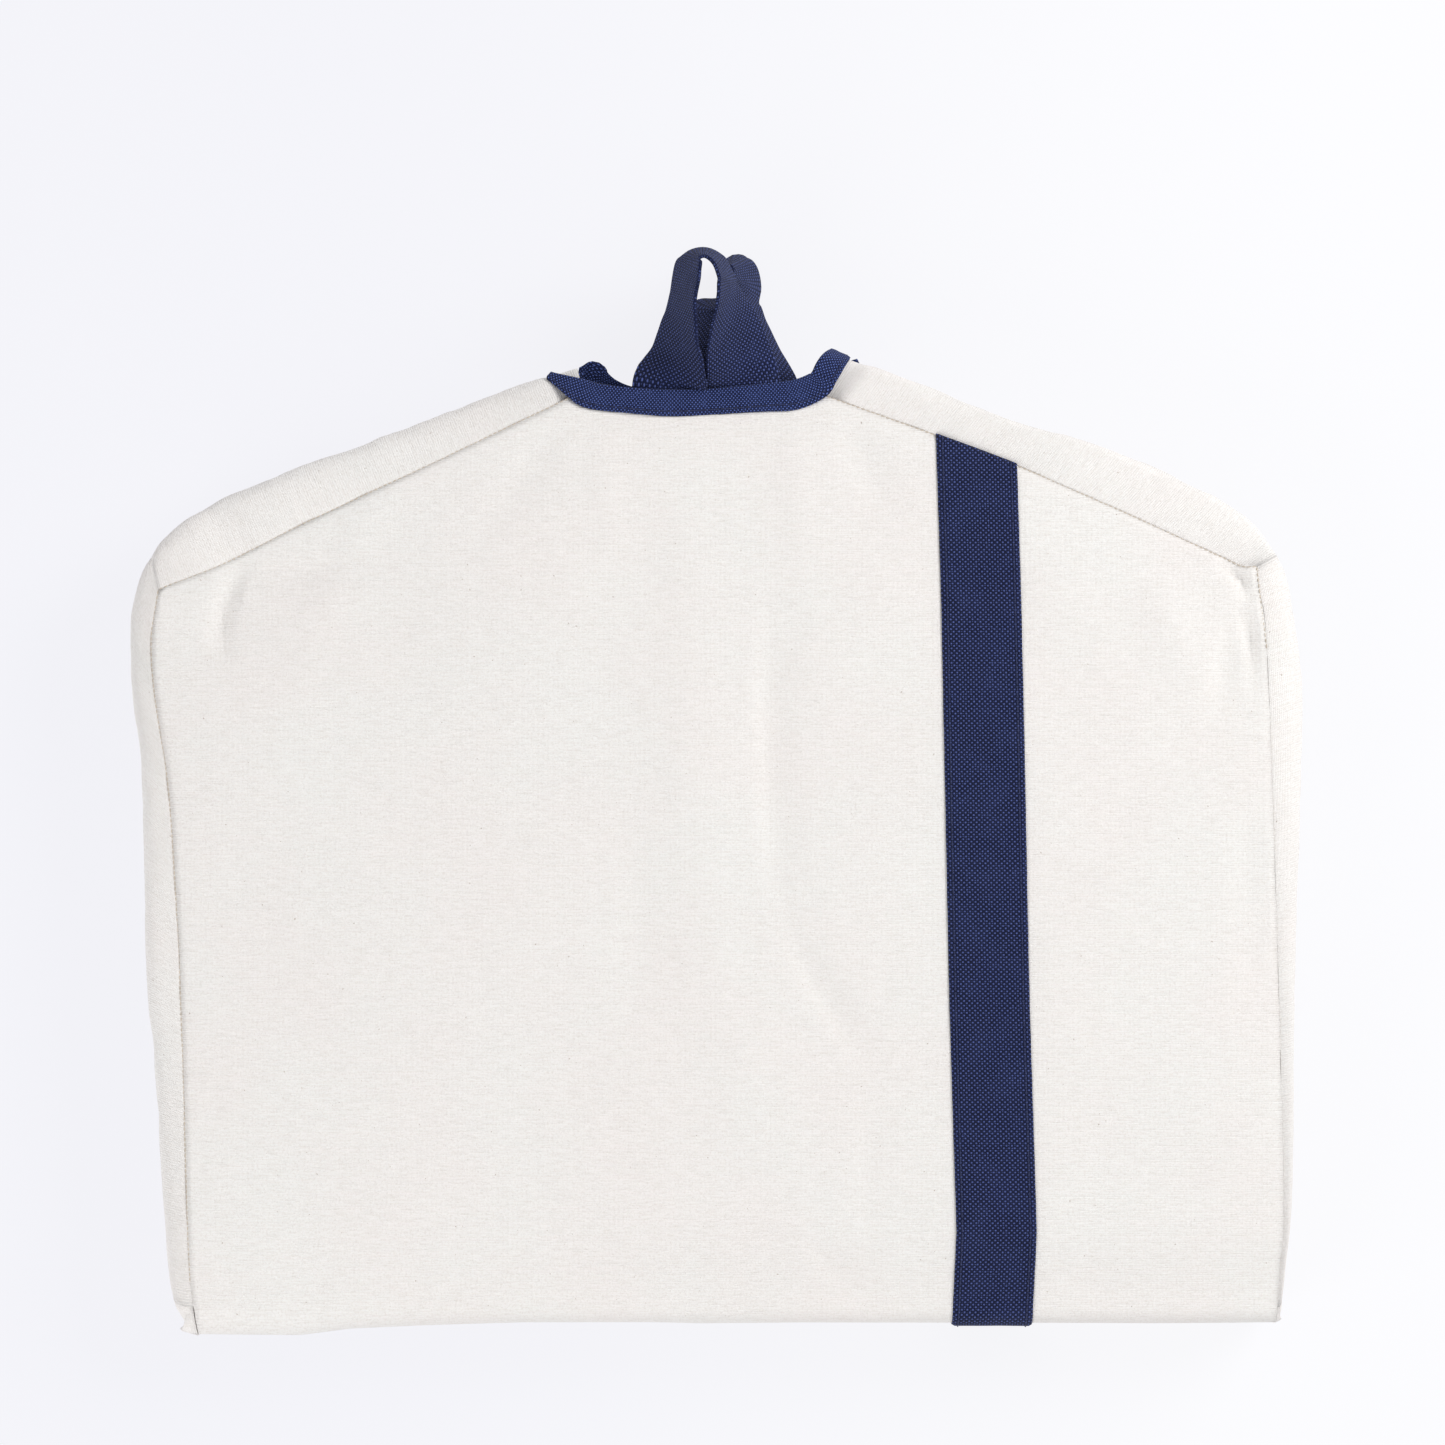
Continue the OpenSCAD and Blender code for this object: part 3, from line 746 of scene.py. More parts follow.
def fold_rows(left, right, columns, rows):
    """Rows of flat places round the fold, from the middle of the spine to NOSE_Y."""
    down = np.linspace(NOSE_RUN, 0, rows, endpoint=False)
    x_left, x_right = at_y(left, NOSE_Y), at_y(right, NOSE_Y)
    lean_left = at_y(left, FOLD_Y - 3) - x_left
    lean_right = at_y(right, FOLD_Y - 3) - x_right
    share = smooth(down / QUARTER)[:, None]
    u = np.linspace(0, 1, columns + 1)[None, :]
    x = (x_left + lean_left * share) * (1 - u) + (x_right + lean_right * share) * u
    return np.stack([x, np.broadcast_to(NOSE_Y - down[:, None], x.shape)], -1)


def back_panel_upper():
    columns = 150
    neck = np.array(NECKLINE) + [(0, 5 * math.sin(PI * i / 7)) for i in range(8)]
    top = np.vstack([spline(LEFT_SHOULDER, 60), spline(neck, 40)[1:], spline(RIGHT_SHOULDER, 60)[1:]])
    left, right = [resample(beyond(seam, NOSE_Y), 112) for seam in (LEFT_SEAM, RIGHT_SEAM)]
    flat = coons(straight(left[0], right[0], columns), by_share(top, columns), left, right)
    flat = np.vstack([fold_rows(LEFT_SEAM, RIGHT_SEAM, columns, 16), flat])
    points = upper_point(flat[..., 0], flat[..., 1])
    obj = sheet_piece("back_panel_upper_cloth", points, flat)
    dress(obj, CANVAS, "canvas", "back_panel_upper", "back_panel_fold")
    bend_upper(obj)
    return declare_cloth(obj, points, "laid", "shoulder_gusset_left_cloth", "side_gusset_left_upper_cloth")


def back_panel_lower():
    columns = 120
    left, right = [resample(beyond(seam, NOSE_Y), 84) for seam in (LEFT_LOW, RIGHT_LOW)]
    hem = straight(LEFT_LOW[-1], RIGHT_LOW[-1], columns)
    flat = coons(straight(left[0], right[0], columns), hem, left, right)
    flat = np.vstack([fold_rows(LEFT_SEAM, RIGHT_SEAM, columns, 16), flat])
    points = lower_point(flat[..., 0], flat[..., 1])
    obj = sheet_piece("back_panel_lower_cloth", points, flat, facing=(0, 0, -1))
    dress(obj, CANVAS, "canvas", "back_panel_lower")
    bend_lower(obj)
    return declare_cloth(obj, points, "laid", "hem_gusset_cloth", "side_gusset_left_lower_cloth")


# --- Gussets ---

RIPPLE_FADE = 14  # the gussets' ripples fade this close to their ends


def gusset(back, front, out, seed, power=3.5, roll=0.45, columns=20):
    """Points of a strip of cloth from a back seam, out round an outline, to a front seam."""
    t = np.linspace(0, 1, columns + 1)
    a = PI * t - np.sin(2 * PI * t) / 2
    c = np.cos(a)
    share = (1 - np.sign(c) * np.abs(c) ** (2 / power)) / 2
    push = np.sin(np.clip(a, 0, PI)) ** (2 / power)
    middle = (back + front) / 2
    reach = out - middle
    points = back[:, None] * (1 - share)[None, :, None] + front[:, None] * share[None, :, None]
    s = lengths(middle)
    ripple = noise(s[:, None], 40 * c[None], 17, seed) + 0.6 * noise(s[:, None], 30 * c[None], 7, seed + 1)
    ripple = ripple * (smooth(s / RIPPLE_FADE) * smooth((s[-1] - s) / RIPPLE_FADE))[:, None]
    bulge = 1 + 0.035 * ripple * np.sin(a)[None]
    points = points + reach[:, None] * push[None, :, None] * bulge[..., None]
    off = np.linalg.norm(reach, axis=1)[:, None] * push[None]
    lift = roll * (1 - bell(off, 1.1)) + 0.35 * ripple * np.exp(-off / 5)
    tall = np.clip((back[:, 2] - front[:, 2]) / 20, -1, 1)[:, None]
    points[..., 2] += lift * c[None] * tall
    return points


def strip_places(points):
    """Places on the flat cloth of a strip: across along its middle row, and along its middle column."""
    across, run = lengths(points[len(points) // 2]), lengths(points[:, points.shape[1] // 2])
    return np.stack(np.broadcast_arrays(across[None, :], run[:, None]), -1)


def clothed_gusset(node, half, points):
    """The cloth of one gusset, from its points."""
    reach = points[:, points.shape[1] // 2] - (points[:, 0] + points[:, -1]) / 2
    obj = sheet_piece(f"{node}_cloth", points, strip_places(points), facing=reach.mean(0))
    dress(obj, CANVAS, "canvas", node)
    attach(obj, f"{half}_half")
    declare_cloth(obj, points, "stretched", f"back_panel_{half}_cloth")


def front_seam_y(y, low_y):
    """The front seam of a half's gusset starts further from the fold than its back seam does."""
    s = np.clip((y - NOSE_Y) / 70, 0, 1)
    return y + (low_y - NOSE_Y) * (1 - s) ** 2


ELBOW_Y = -239.0  # where a side gusset's front seam starts
NECK_DIP = 4.5  # how far a shoulder gusset sinks under the neck's binding
NECK_REACH = 17.0  # and how far from its end it starts to sink


def side_gusset(side, half, seed, rows=90):
    """One half's side gusset, from the fold to its far corner. Returns its row beside the fold."""
    seam, outline = SIDE_SEAMS[side, half]
    back, out = resample(beyond(seam, NOSE_Y), rows), resample(beyond(outline, NOSE_Y), rows)
    z_back, z_front = FACE[half](back[:, 0], back[:, 1])[:, 2], FRONT_SEAM_Z[half]
    front_y = front_seam_y(back[:, 1], ELBOW_Y)
    front = np.stack([at_y(seam, front_y), front_y, np.full(rows + 1, z_front)], 1)
    back = np.column_stack([back, z_back])
    out_y = (back[:, 1] + front[:, 1]) / 2 + out[:, 1] - back[:, 1]
    out = np.column_stack([out[:, 0], out_y, (z_back + z_front) / 2])
    points = gusset(back, front, out, seed)
    clothed_gusset(f"side_gusset_{side}_{half}", half, points)
    return points[0]


def cross_gusset(node, half, seam, outline, seed, neck=0, rows=90):
    """A gusset along a shoulder or the hem. neck is the end, 1 or -1, that dips under the binding."""
    line, out = spline(seam, rows), spline(outline, rows)
    back = np.column_stack([line, FACE[half](line[:, 0], line[:, 1])[:, 2]])
    run = lengths(line)
    if neck:
        from_end = run[-1] - run if neck > 0 else run
        back[:, 2] -= NECK_DIP * smooth((NECK_REACH - from_end) / 9)
    front = np.column_stack([line, np.full(rows + 1, FRONT_SEAM_Z[half])])
    out = np.column_stack([out, (back[:, 2] + FRONT_SEAM_Z[half]) / 2])
    clothed_gusset(node, half, gusset(back, front, out, seed))


def gussets():
    """Every gusset but the fold's. Returns where each side gusset meets the fold's."""
    starts = {place: side_gusset(*place, seed) for seed, place in enumerate(SIDE_SEAMS, 31)}
    cross_gusset("shoulder_gusset_left", "upper", LEFT_SHOULDER + [(-67, 199.5)],
                 LEFT_SHOULDER_OUT + [(-70, 210.5)], 35, neck=1)
    cross_gusset("shoulder_gusset_right", "upper", [(51, 199)] + RIGHT_SHOULDER,
                 [(60, 217)] + RIGHT_SHOULDER_OUT, 36, neck=-1)
    hem_out = [LEFT_LOW_OUT[-1], (-240, 94), (-120, 97), (0, 97.6), (120, 97), (240, 94), RIGHT_LOW_OUT[-1]]
    hem_seam = [LEFT_LOW[-1], (-100, HEM_Y), (100, HEM_Y), RIGHT_LOW[-1]]
    cross_gusset("hem_gusset", "lower", hem_seam, hem_out, 37)
    return starts


def fold_gusset_profile(x_seam, sign, back, front, wide, tip):
    """A cross-section of the gusset at the fold, from the back seam to the front one.

    wide is how far it bulges sideways, and tip how far its pointed ear stands out."""
    s = np.linspace(0, 1, 21)
    base = back * (1 - s)[:, None] + front * s[:, None]
    off = wide * np.sin(PI * s) ** 0.8 + tip * bell(s - 0.12, 0.09)
    return np.column_stack([x_seam + sign * off, base])


def fold_cloth(name, points, sign, hold, *nodes):
    """One piece of cloth at the side of the fold. hold fixes it to its body or bakes its placement."""
    obj = sheet_piece(name, points, strip_places(points), facing=(sign, -0.3, 0))
    dress(obj, CANVAS, "canvas", *nodes)
    hold(obj)
    side = "left" if sign < 0 else "right"
    half = "lower" if "lower" in name else "upper"
    declare_cloth(obj, points, "gathered", f"side_gusset_{side}_{half}_cloth")


def nose_edge(seam):
    """The back seam round the fold's rounded edge, from the spine up to NOSE_Y."""
    x_fold, x_in = at_y(seam, FOLD_Y - 3), at_y(seam, NOSE_Y)
    down = QUARTER * np.linspace(1, 0, 9)
    x = x_fold + (x_in - x_fold) * (1 - smooth(down / QUARTER))
    return upper_point(x, NOSE_Y - down)


def flip(points):
    """The same points in the other half, mirrored about the spine."""
    return points * (1, 1, -1) + (0, 0, TOP_Z)


SPINE_FRONT_Y = -254.5  # the front seam of the gusset on the spine
ELBOW_FRONT_Z = 31.5  # the level of that seam where the elbow takes over


def fold_elbow(nose, sign, wide, tip, start):
    """From the spine round to the side gusset, whose first row is start."""
    front = straight((SPINE_FRONT_Y, ELBOW_FRONT_Z), (ELBOW_Y, FRONT_SEAM_Z["upper"]), 8)
    rows = np.array([fold_gusset_profile(b[0], sign, b[1:], f, wide, tip * (1 - i / 8))
                     for i, (b, f) in enumerate(zip(nose, front))])
    return rows + smooth(np.arange(9) / 8)[:, None, None] * (start - rows[-1])[None]


def fold_corner(nose, sign, wide, start):
    """Inside the elbow: closes the front panel's corner when the bag is opened."""
    front = straight((ELBOW_Y, FRONT_SEAM_Z["upper"]), (EDGE_Y, UPPER_Z + 1.2), 8)
    top = nose[-1][1:] + (0.5, -1.6)
    inner = start[0][0] - sign * 0.4
    return np.array([fold_gusset_profile(inner, sign, top, f, 0.5 * wide, 0) for f in front])


def fold_spine(nose, sign, wide, tip):
    """Round the fold's outside, from one half's elbow to the other's."""
    rows = []
    for t in np.linspace(-1, 1, 11):
        z = SPINE_MID + t * (nose[0][2] - SPINE_MID)
        back = np.array([nose[0][1] - 1.6 * (1 - t * t), z])
        front = np.array([SPINE_FRONT_Y + 3 * (1 - t * t), SPINE_MID + 2.0 * t])
        rows.append(fold_gusset_profile(nose[0][0], sign, back, front, wide, tip * (1 + 0.3 * (1 - t * t))))
    return np.array(rows)


def fold_web(nose, sign):
    """Inside the spine's gusset: reaches in to the pleat's crease, and shows when the bag is opened."""
    rows = []
    for t in np.linspace(-1, 1, 11):
        back = np.array([nose[0][1] + 2.2, SPINE_MID + t * (nose[0][2] - SPINE_MID - 1)])
        crease = np.array([CREASE_Y - 1, SPINE_MID + t])
        rows.append(fold_gusset_profile(nose[0][0], sign, back, crease, 1.2, 0))
    return np.array(rows)


def fold_gussets(starts):
    """The side gussets where they cross the fold: elbows, corners and the piece on the spine."""
    for side, seam, wide, tip in (("left", LEFT_SEAM, 8.5, 5.0), ("right", RIGHT_SEAM, 3.5, 2.0)):
        sign, name = SIGN[side], f"fold_gusset_{side}"
        nose = nose_edge(seam)
        up, down = starts[side, "upper"], flip(starts[side, "lower"])
        upper, lower = fold_elbow(nose, sign, wide, tip, up), flip(fold_elbow(nose, sign, wide, tip, down))
        fold_cloth(f"{name}_upper_elbow", upper, sign, bend_upper, name)
        fold_cloth(f"{name}_lower_elbow", lower, sign, bend_lower, name)
        for half, points in (("upper", fold_corner(nose, sign, wide, up)),
                             ("lower", flip(fold_corner(nose, sign, wide, down)))):
            fold_cloth(f"{name}_{half}_corner", points, sign, hold_to(f"{half}_half"),
                       f"side_gusset_{side}_{half}")
        for part, points in (("spine", fold_spine(nose, sign, wide, tip)), ("web", fold_web(nose, sign))):
            fold_cloth(f"{name}_{part}", points, sign, hold_to("fold_spine"), name)


# --- Front panels and the pleat ---

ZIP_EDGE = 6.5  # how far from the zipper's middle the front panels stop
FRONT_SEED = {"left": 41, "right": 45}


def zip_edge(y, side, half):
    """x of a front panel's edge beside the zipper, which closes above the zipper's top."""
    shut = smooth((y - ZIP_END[half] + 3) / 12)
    return ZIP_X + SIGN[side] * (ZIP_EDGE * (1 - shut) + 0.15 * shut)


def to_front_end(x, y, half):
    """Distance to a front panel's sewn end: the hem, or the shoulder on each side of the neck."""
    return HEM_Y - y if half == "lower" else np.where(np.abs(x) < 70, 60, to_shoulder(x, y))


def front_z(x, y, side, half):
    """z of a front panel's outer face, which stands proud of its seams' level."""
    seams = [SIDE_SEAMS[edge, half][0] for edge in ("left", "right")]
    off, end = to_sides(x, y, *seams), to_front_end(x, y, half)
    edge = smooth(off / 30) * smooth(end / 30)
    seed = FRONT_SEED[side]
    proud = 0.9 * (0.5 + 0.5 * noise(x, y, 50, seed)) * edge + 0.25 * noise(x, y, 17, seed + 1) * edge
    proud = proud + 0.6 * bell(np.abs(x - ZIP_X) - ZIP_EDGE, 4)
    groove = bell(off, 2.6) + bell(end, 2.4)
    level = UPPER_Z if half == "upper" else LOWER_Z
    return level + FACING[half] * (proud - 1.5 * np.clip(groove, 0, 1))


def front_places(side, half):
    """The flat places of a front panel's cloth, between its seams and the zipper."""
    rows, columns = 110 if half == "upper" else 88, 60
    under_binding = (0, 5)
    y = np.linspace(EDGE_Y, FRONT_NECK[3][1] + 5 if half == "upper" else HEM_Y, rows + 1)
    inner = np.stack([zip_edge(y, side, half), y], 1)
    outer = resample(beyond(SIDE_SEAMS[side, half][0], EDGE_Y), rows)
    a, b = (outer, inner) if side == "left" else (inner, outer)
    if half == "lower":
        top = straight(a[-1], b[-1], columns)
    elif side == "left":
        top = np.vstack([spline(LEFT_SHOULDER, 60)[:-6], spline(FRONT_NECK[:4], 30) + under_binding])
    else:
        top = np.vstack([spline(FRONT_NECK[3:], 30) + under_binding, spline(RIGHT_SHOULDER, 60)[8:]])
    top[0], top[-1] = a[-1], b[-1]
    return coons(straight(a[0], b[0], columns), by_share(top, columns), a, b)


def front_panels():
    for side in ("left", "right"):
        for half in ("upper", "lower"):
            flat = front_places(side, half)
            x, y = flat[..., 0], flat[..., 1]
            points = np.stack([x, y, front_z(x, y, side, half)], -1)
            node = f"front_panel_{side}_{half}"
            obj = sheet_piece(f"{node}_cloth", points, flat, facing=(0, 0, FACING[half]))
            dress(obj, CANVAS, "canvas", node)
            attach(obj, f"{half}_half")
            declare_cloth(obj, points, "stretched", f"zipper_tape_{side}_{half}",
                          f"side_gusset_{side}_{half}_cloth")


def pleat_leg(x, s, half, lift=0.0):
    """A point of the pleat: s runs from the crease at the spine out to one half's front panel."""
    y = CREASE_Y + (EDGE_Y - CREASE_Y) * s
    z = SPINE_MID + (UPPER_Z - SPINE_MID) * smooth(s) ** 0.8 - lift
    return np.stack(np.broadcast_arrays(x, y, z if half == "upper" else TOP_Z - z), -1)


def bend_pleat(obj, half):
    if half == "upper":
        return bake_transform(obj)
    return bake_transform(obj)


def pleat():
    """The front cloth tucked into the fold: a left and a right piece on each half, beside the zipper."""
    s = np.linspace(0, 1, 13)
    for half in ("upper", "lower"):
        for side, seam in (("left", LEFT_SEAM), ("right", RIGHT_SEAM)):
            outer = at_y(seam, -250) - SIGN[side] * 1.5
            x = np.linspace(*sorted((outer, ZIP_X + SIGN[side] * ZIP_EDGE)), 60)
            points = pleat_leg(x[None, :], s[:, None], half)
            points[..., 2] += 0.25 * noise(points[..., 0], points[..., 1], 19, 51) * np.sin(PI * s)[:, None]
            name = f"front_pleat_{side}_{half}"
            obj = sheet_piece(name, points, points[..., :2], facing=(0, 0, FACING[half]))
            dress(obj, CANVAS, "canvas", "front_panel_fold")
            bend_pleat(obj, half)
            declare_cloth(obj, points, "folded", f"front_panel_{side}_{half}_cloth")


# --- The stripe ---

STRIPE_LEFT = STRIPE_X - STRIPE_W / 2
STITCH_COLUMNS = (2, 24)  # of the stripe's 27 columns of points


def stripe_sheet(half, run_rows, flat_top, low_x, nodes, bend):
    """Webbing that follows a half's back face. flat_top(u) is the y of its end; low_x(y) its left edge."""
    facing = -FACING[half]
    u = np.linspace(0, 1, 27)
    v = np.linspace(0, 1, run_rows + 1)[:, None]
    start = NOSE_Y - NOSE_RUN
    y = start + (flat_top(u)[None] - start) * v
    x = low_x(y) + STRIPE_W * u[None]
    base = FACE[half](x, y)
    normal = grid_normals(base) * facing
    edge = np.minimum(u, 1 - u) * STRIPE_W
    height = WEBBING_T * (1 - 0.55 * bell(edge, 0.7))
    height = height + 0.12 * noise(x, y, 9, 61)
    points = base + normal * height[..., None]
    flat = np.stack([x - low_x(y), y], -1)
    name = f"stripe_{half}_webbing"
    obj = sheet_piece(name, points, flat, thickness=WEBBING_T - 0.3, facing=(0, 0, facing))
    dress(obj, WEBBING, "navy_webbing", *nodes)
    bend(obj)
    return points


def stripe_left(y):
    """Left edge of the upper stripe, which leans a little."""
    return np.interp(y, [FOLD_Y, -220, -105, 94, 177], [STRIPE_LEFT + 1, 119, 115.5, 111.5, 109])


def stripes():
    upper = stripe_sheet("upper", 190, lambda u: 177.2 - 15.2 * u, stripe_left,
                         ("stripe_upper", "stripe_fold"), bend_upper)
    lower = stripe_sheet("lower", 150, lambda u: np.full_like(u, HEM_Y - 0.8),
                         lambda y: np.full_like(y, STRIPE_LEFT), ("stripe_lower",), bend_lower)
    return upper, lower


# --- Neck bindings ---

def wrap_tape(node, low_edge, high_edge, thick, n=110):
    """Folded tape between two edges in space, rounded over its high edge, where the cloth ends.

    Returns the row for its stitches: the places and the way up."""
    a, b = spline(low_edge, n), spline(high_edge, n)
    mid = (a + b) / 2
    t = unit(np.gradient(mid, axis=0))
    w = b - a
    width = np.linalg.norm(w, axis=1)
    w = unit(w - t * (w * t).sum(1, keepdims=True))
    up = np.cross(t, w)
    s = np.linspace(-1, 1, 13)
    half = thick / 2
    top = np.stack([s[:-1], half * (1 - 0.35 * bell(s[:-1] + 1, 0.16))], 1)
    turn = np.linspace(PI / 2, -PI / 2, 7)
    nose = np.stack([1 + 0.16 * np.cos(turn), half * np.sin(turn)], 1)
    under = top[::-1] * (1, -1)
    profile = np.vstack([top, nose, under])
    s_run = lengths(mid)
    wobble = 0.18 * noise(s_run[:, None], 20 * profile[None, :, 0], 9, 71)
    points = (mid[:, None] + w[:, None] * profile[None, :, :1] * (width / 2)[:, None, None]
              + up[:, None] * (profile[None, :, 1:] + wobble[..., None] * np.sign(profile[None, :, 1:])))
    cloth = np.stack(np.broadcast_arrays(profile[None, :, 0] * (width / 2)[:, None], s_run[:, None]), -1)
    obj = tube_piece(f"{node}_tape", points, cloth)
    dress(obj, BINDING, "navy_binding", node)
    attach(obj, "upper_half")
    row = a + (b - a) * 0.2 + up * half
    return row[3:-3], up[3:-3]


def bindings():
    """The tape round the neck. Returns its rows of stitches."""
    z, f = BINDING_Z - 0.2, FRONT_BINDING_Z
    back_low = [(-85.8, 205.8, z - 4), (-80, 200.5, z - 1.5), (-73.8, 195.1, z), (-65.5, 190.1, z),
                (-45.6, 187.6, z), (-24.1, 185.8, z), (-0.9, 186.8, z), (27.3, 188.9, z), (42.2, 190.1, z),
                (54.7, 195.9, z), (58, 201, z)]
    back_high = [(-82.1, 206.5, z - 5), (-74, 205.3, z - 2), (-66, 203.4, z), (-58, 201.0, z),
                 (-43, 199.2, z), (-24, 198.4, z), (-2, 198.9, z), (25, 200.9, z), (37, 202.2, z),
                 (46.5, 206, z), (49.5, 209.5, z)]
    right_low = [(58, 201, z), (60.5, 205, z - 0.6), (64, 211, z - 4), (66.4, 215, z - 12),
                 (64.5, 213, f + 6), (66, 206, f + 1)]
    right_high = [(49.5, 209.5, z), (51, 213, z - 0.4), (53.5, 216.5, z - 3), (57, 219, z - 11),
                  (55.5, 217.5, f + 6), (58, 214, f + 1)]
    front_low = [(70, 206, f), (58, 196, f), (40, 190, f), (20, 187.5, f), (0, 187, f), (-24, 188, f),
                 (-45, 191, f), (-60, 195.5, f), (-66, 198.5, f), (-70, 202.5, f)]
    front_high = [(75.5, 214.6, f), (58, 211.5, f), (51, 207, f), (37, 202, f), (19, 199.6, f), (0, 199, f),
                  (-22, 199.8, f), (-42, 200.6, f), (-53, 204.2, f), (-59.4, 209, f + 0.5),
                  (-62.6, 213.4, f + 1), (-70, 210.6, f + 2)]
    left_low = [(-83.5, 202, z - 9), (-83.5, 202, z - 14), (-80, 202, f + 6), (-71, 202, f + 1.5)]
    left_high = [(-76, 204.5, z - 10), (-76, 205, z - 14), (-72, 206, f + 6), (-65, 207, f + 1.5)]
    return [wrap_tape("neck_binding_back", back_low, back_high, 3.0),
            wrap_tape("neck_binding_right", right_low, right_high, 2.6, n=60),
            wrap_tape("neck_binding_front", front_low, front_high, 3.0),
            wrap_tape("neck_binding_left", left_low, left_high, 2.4, n=40)]


# --- Handles ---

# Each row is x, y, height above the hinge, how far the webbing has turned about its own length
# (0 flat at the left foot, 90 on edge, 180 flat at the right foot), and its outward tilt.
BACK_ROUTE = [(-23.4, 200, 0, 0, 0), (-22.5, 204, 0.2, 12, 0), (-21.2, 208.5, 1, 28, 0),
              (-19.4, 216, 2.5, 47, 0), (-18.8, 224, 5, 58, 0), (-17.8, 233, 8, 65, 0),
              (-16.9, 244, 10, 70, 0), (-15.3, 254, 11, 72, 3), (-13.6, 261.4, 12, 77, 7),
              (-10.8, 265.8, 12, 86, 9), (-5.2, 266.8, 12, 90, 9), (0.4, 263.2, 12, 93, 8),
              (4, 256, 11, 97, 5), (5.2, 250, 10.5, 102, 3), (6, 244, 9.5, 109, 2), (7.4, 235, 7.5, 124, 0),
              (8.8, 226, 5, 136, 0), (10.2, 217, 2.5, 148, 0), (11.8, 209, 0.6, 159, 0),
              (12.5, 204, 0.1, 169, 0), (12.8, 200, 0, 180, 0)]
FRONT_ROUTE = [(-16, 202, 0, 0, 0), (-14, 212, -2, 20, 0), (-10, 222, -7, 34, 0), (-6, 231, -12, 44, 0),
               (-4.4, 237, -15, 48, 0), (-3, 241.6, -16, 57, 2), (3.4, 245.6, -16, 88, 6),
               (5, 252.5, -16, 90, 8), (4.4, 259, -16, 90, 10), (6.2, 263.8, -16, 91, 11),
               (10.6, 264.7, -15, 95, 11), (12.9, 261, -15, 103, 10), (14.5, 254, -15, 107, 6),
               (13.4, 247, -14, 112, 3), (14.8, 239.5, -12, 116, 0), (17.2, 230.5, -9, 122, 0),
               (19.5, 221, -5.5, 131, 0), (21.4, 213, -2, 144, 0), (21.5, 202, 0, 180, 0)]


def handle(side, route, hinge, tail):
    """One strap of webbing: sewn tail, loop, sewn tail, set at its hinge's height."""
    r = np.array(route, float)
    down = np.array([0, 1, 0, 0, 0])
    ends = (0.25 * tail, 0.5 * tail, tail)
    p = spline(np.vstack([[r[0] - e * down for e in ends[::-1]], r, [r[-1] - e * down for e in ends]]), 190)
    centre = p[:, :3] + (0, 0, hinge[2])
    turn, tilt = np.radians(p[:, 3]), np.radians(p[:, 4])
    t = unit(np.gradient(centre, axis=0))
    outward = unit(np.stack([-t[:, 1], t[:, 0], np.zeros(len(t))], 1))
    lift = np.array([0, 0, 1.0]) * np.cos(tilt)[:, None] - outward * np.sin(tilt)[:, None]
    across = np.array([1.0, 0, 0]) * np.cos(turn)[:, None] + lift * np.sin(turn)[:, None]
    obj = band(f"{side}_handle_webbing", centre, across, HANDLE_W, WEBBING_T + 0.2)
    dress(obj, WEBBING, "navy_webbing", f"{side}_handle_tails", f"{side}_handle")
    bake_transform(obj)


# --- Zipper ---

TAPE_T = 0.6
BEAD_X = 3.6  # how far from the zipper's middle its tapes' beads lie


def tape_strip(side, half, chain_z):
    """One zipper tape on one half, with a bead along the teeth, whose middle is at chain_z."""
    node, facing = f"zipper_tape_{side}_{half}", FACING[half]
    edges = low(f"zipper_tape_{side}_upper")[0], high(f"zipper_tape_{side}_upper")[0]
    rows = int((ZIP_END[half] - EDGE_Y) / 3)
    x, y = np.meshgrid(np.linspace(*edges, 9), np.linspace(EDGE_Y, ZIP_END[half], rows + 1))
    bead = 0.35 * bell(np.abs(ZIP_X - x) - BEAD_X, 0.7)
    points = np.stack([x, y, chain_z + facing * 0.3 + facing * (bead + 0.08 * noise(x, y, 6, 81))], -1)
    obj = sheet_piece(f"{node}_strip", points, points[..., :2], thickness=TAPE_T, facing=(0, 0, facing))
    dress(obj, TAPE, "zipper_tape", node)
    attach(obj, f"{half}_half")
TOOTH_STEP = 1.2  # from a tooth on one side to its neighbour on the other


def tooth_shape():
    """Sections of one tooth from its clamp on the tape to its rounded head: x, half-length, half-height."""
    stations = [(3.1, 0.4, 0.9), (2.9, 0.62, 1.15), (1.6, 0.66, 1.2), (0.9, 0.5, 1.0), (0.2, 0.46, 0.85),
                (-0.5, 0.58, 0.8), (-0.9, 0.4, 0.55)]
    turn = np.linspace(0, 2 * PI, 8, endpoint=False) + PI / 8
    c, s = np.cos(turn), np.sin(turn)
    ring = np.stack([np.sign(c) * np.abs(c) ** 0.6, np.sign(s) * np.abs(s) ** 0.6], 1)
    return np.array([[(x, a * r[0], b * r[1]) for r in ring] for x, a, b in stations])


def tooth_rows(name, places):
    """Interlocked brass teeth along the zipper, one at each (y, z)."""
    shape = tooth_shape()
    rows, ring = shape.shape[:2]
    points, faces = [], []
    for i, (y, z) in enumerate(places):
        side = -1 if i % 2 else 1
        points.append(shape.reshape(-1, 3) * (side, 1, 1) + (ZIP_X, y, z))
        tooth = tube_faces(rows, ring, i * rows * ring)
        faces += tooth if side > 0 else [face[::-1] for face in tooth]
    return piece(name, np.vstack(points), faces)


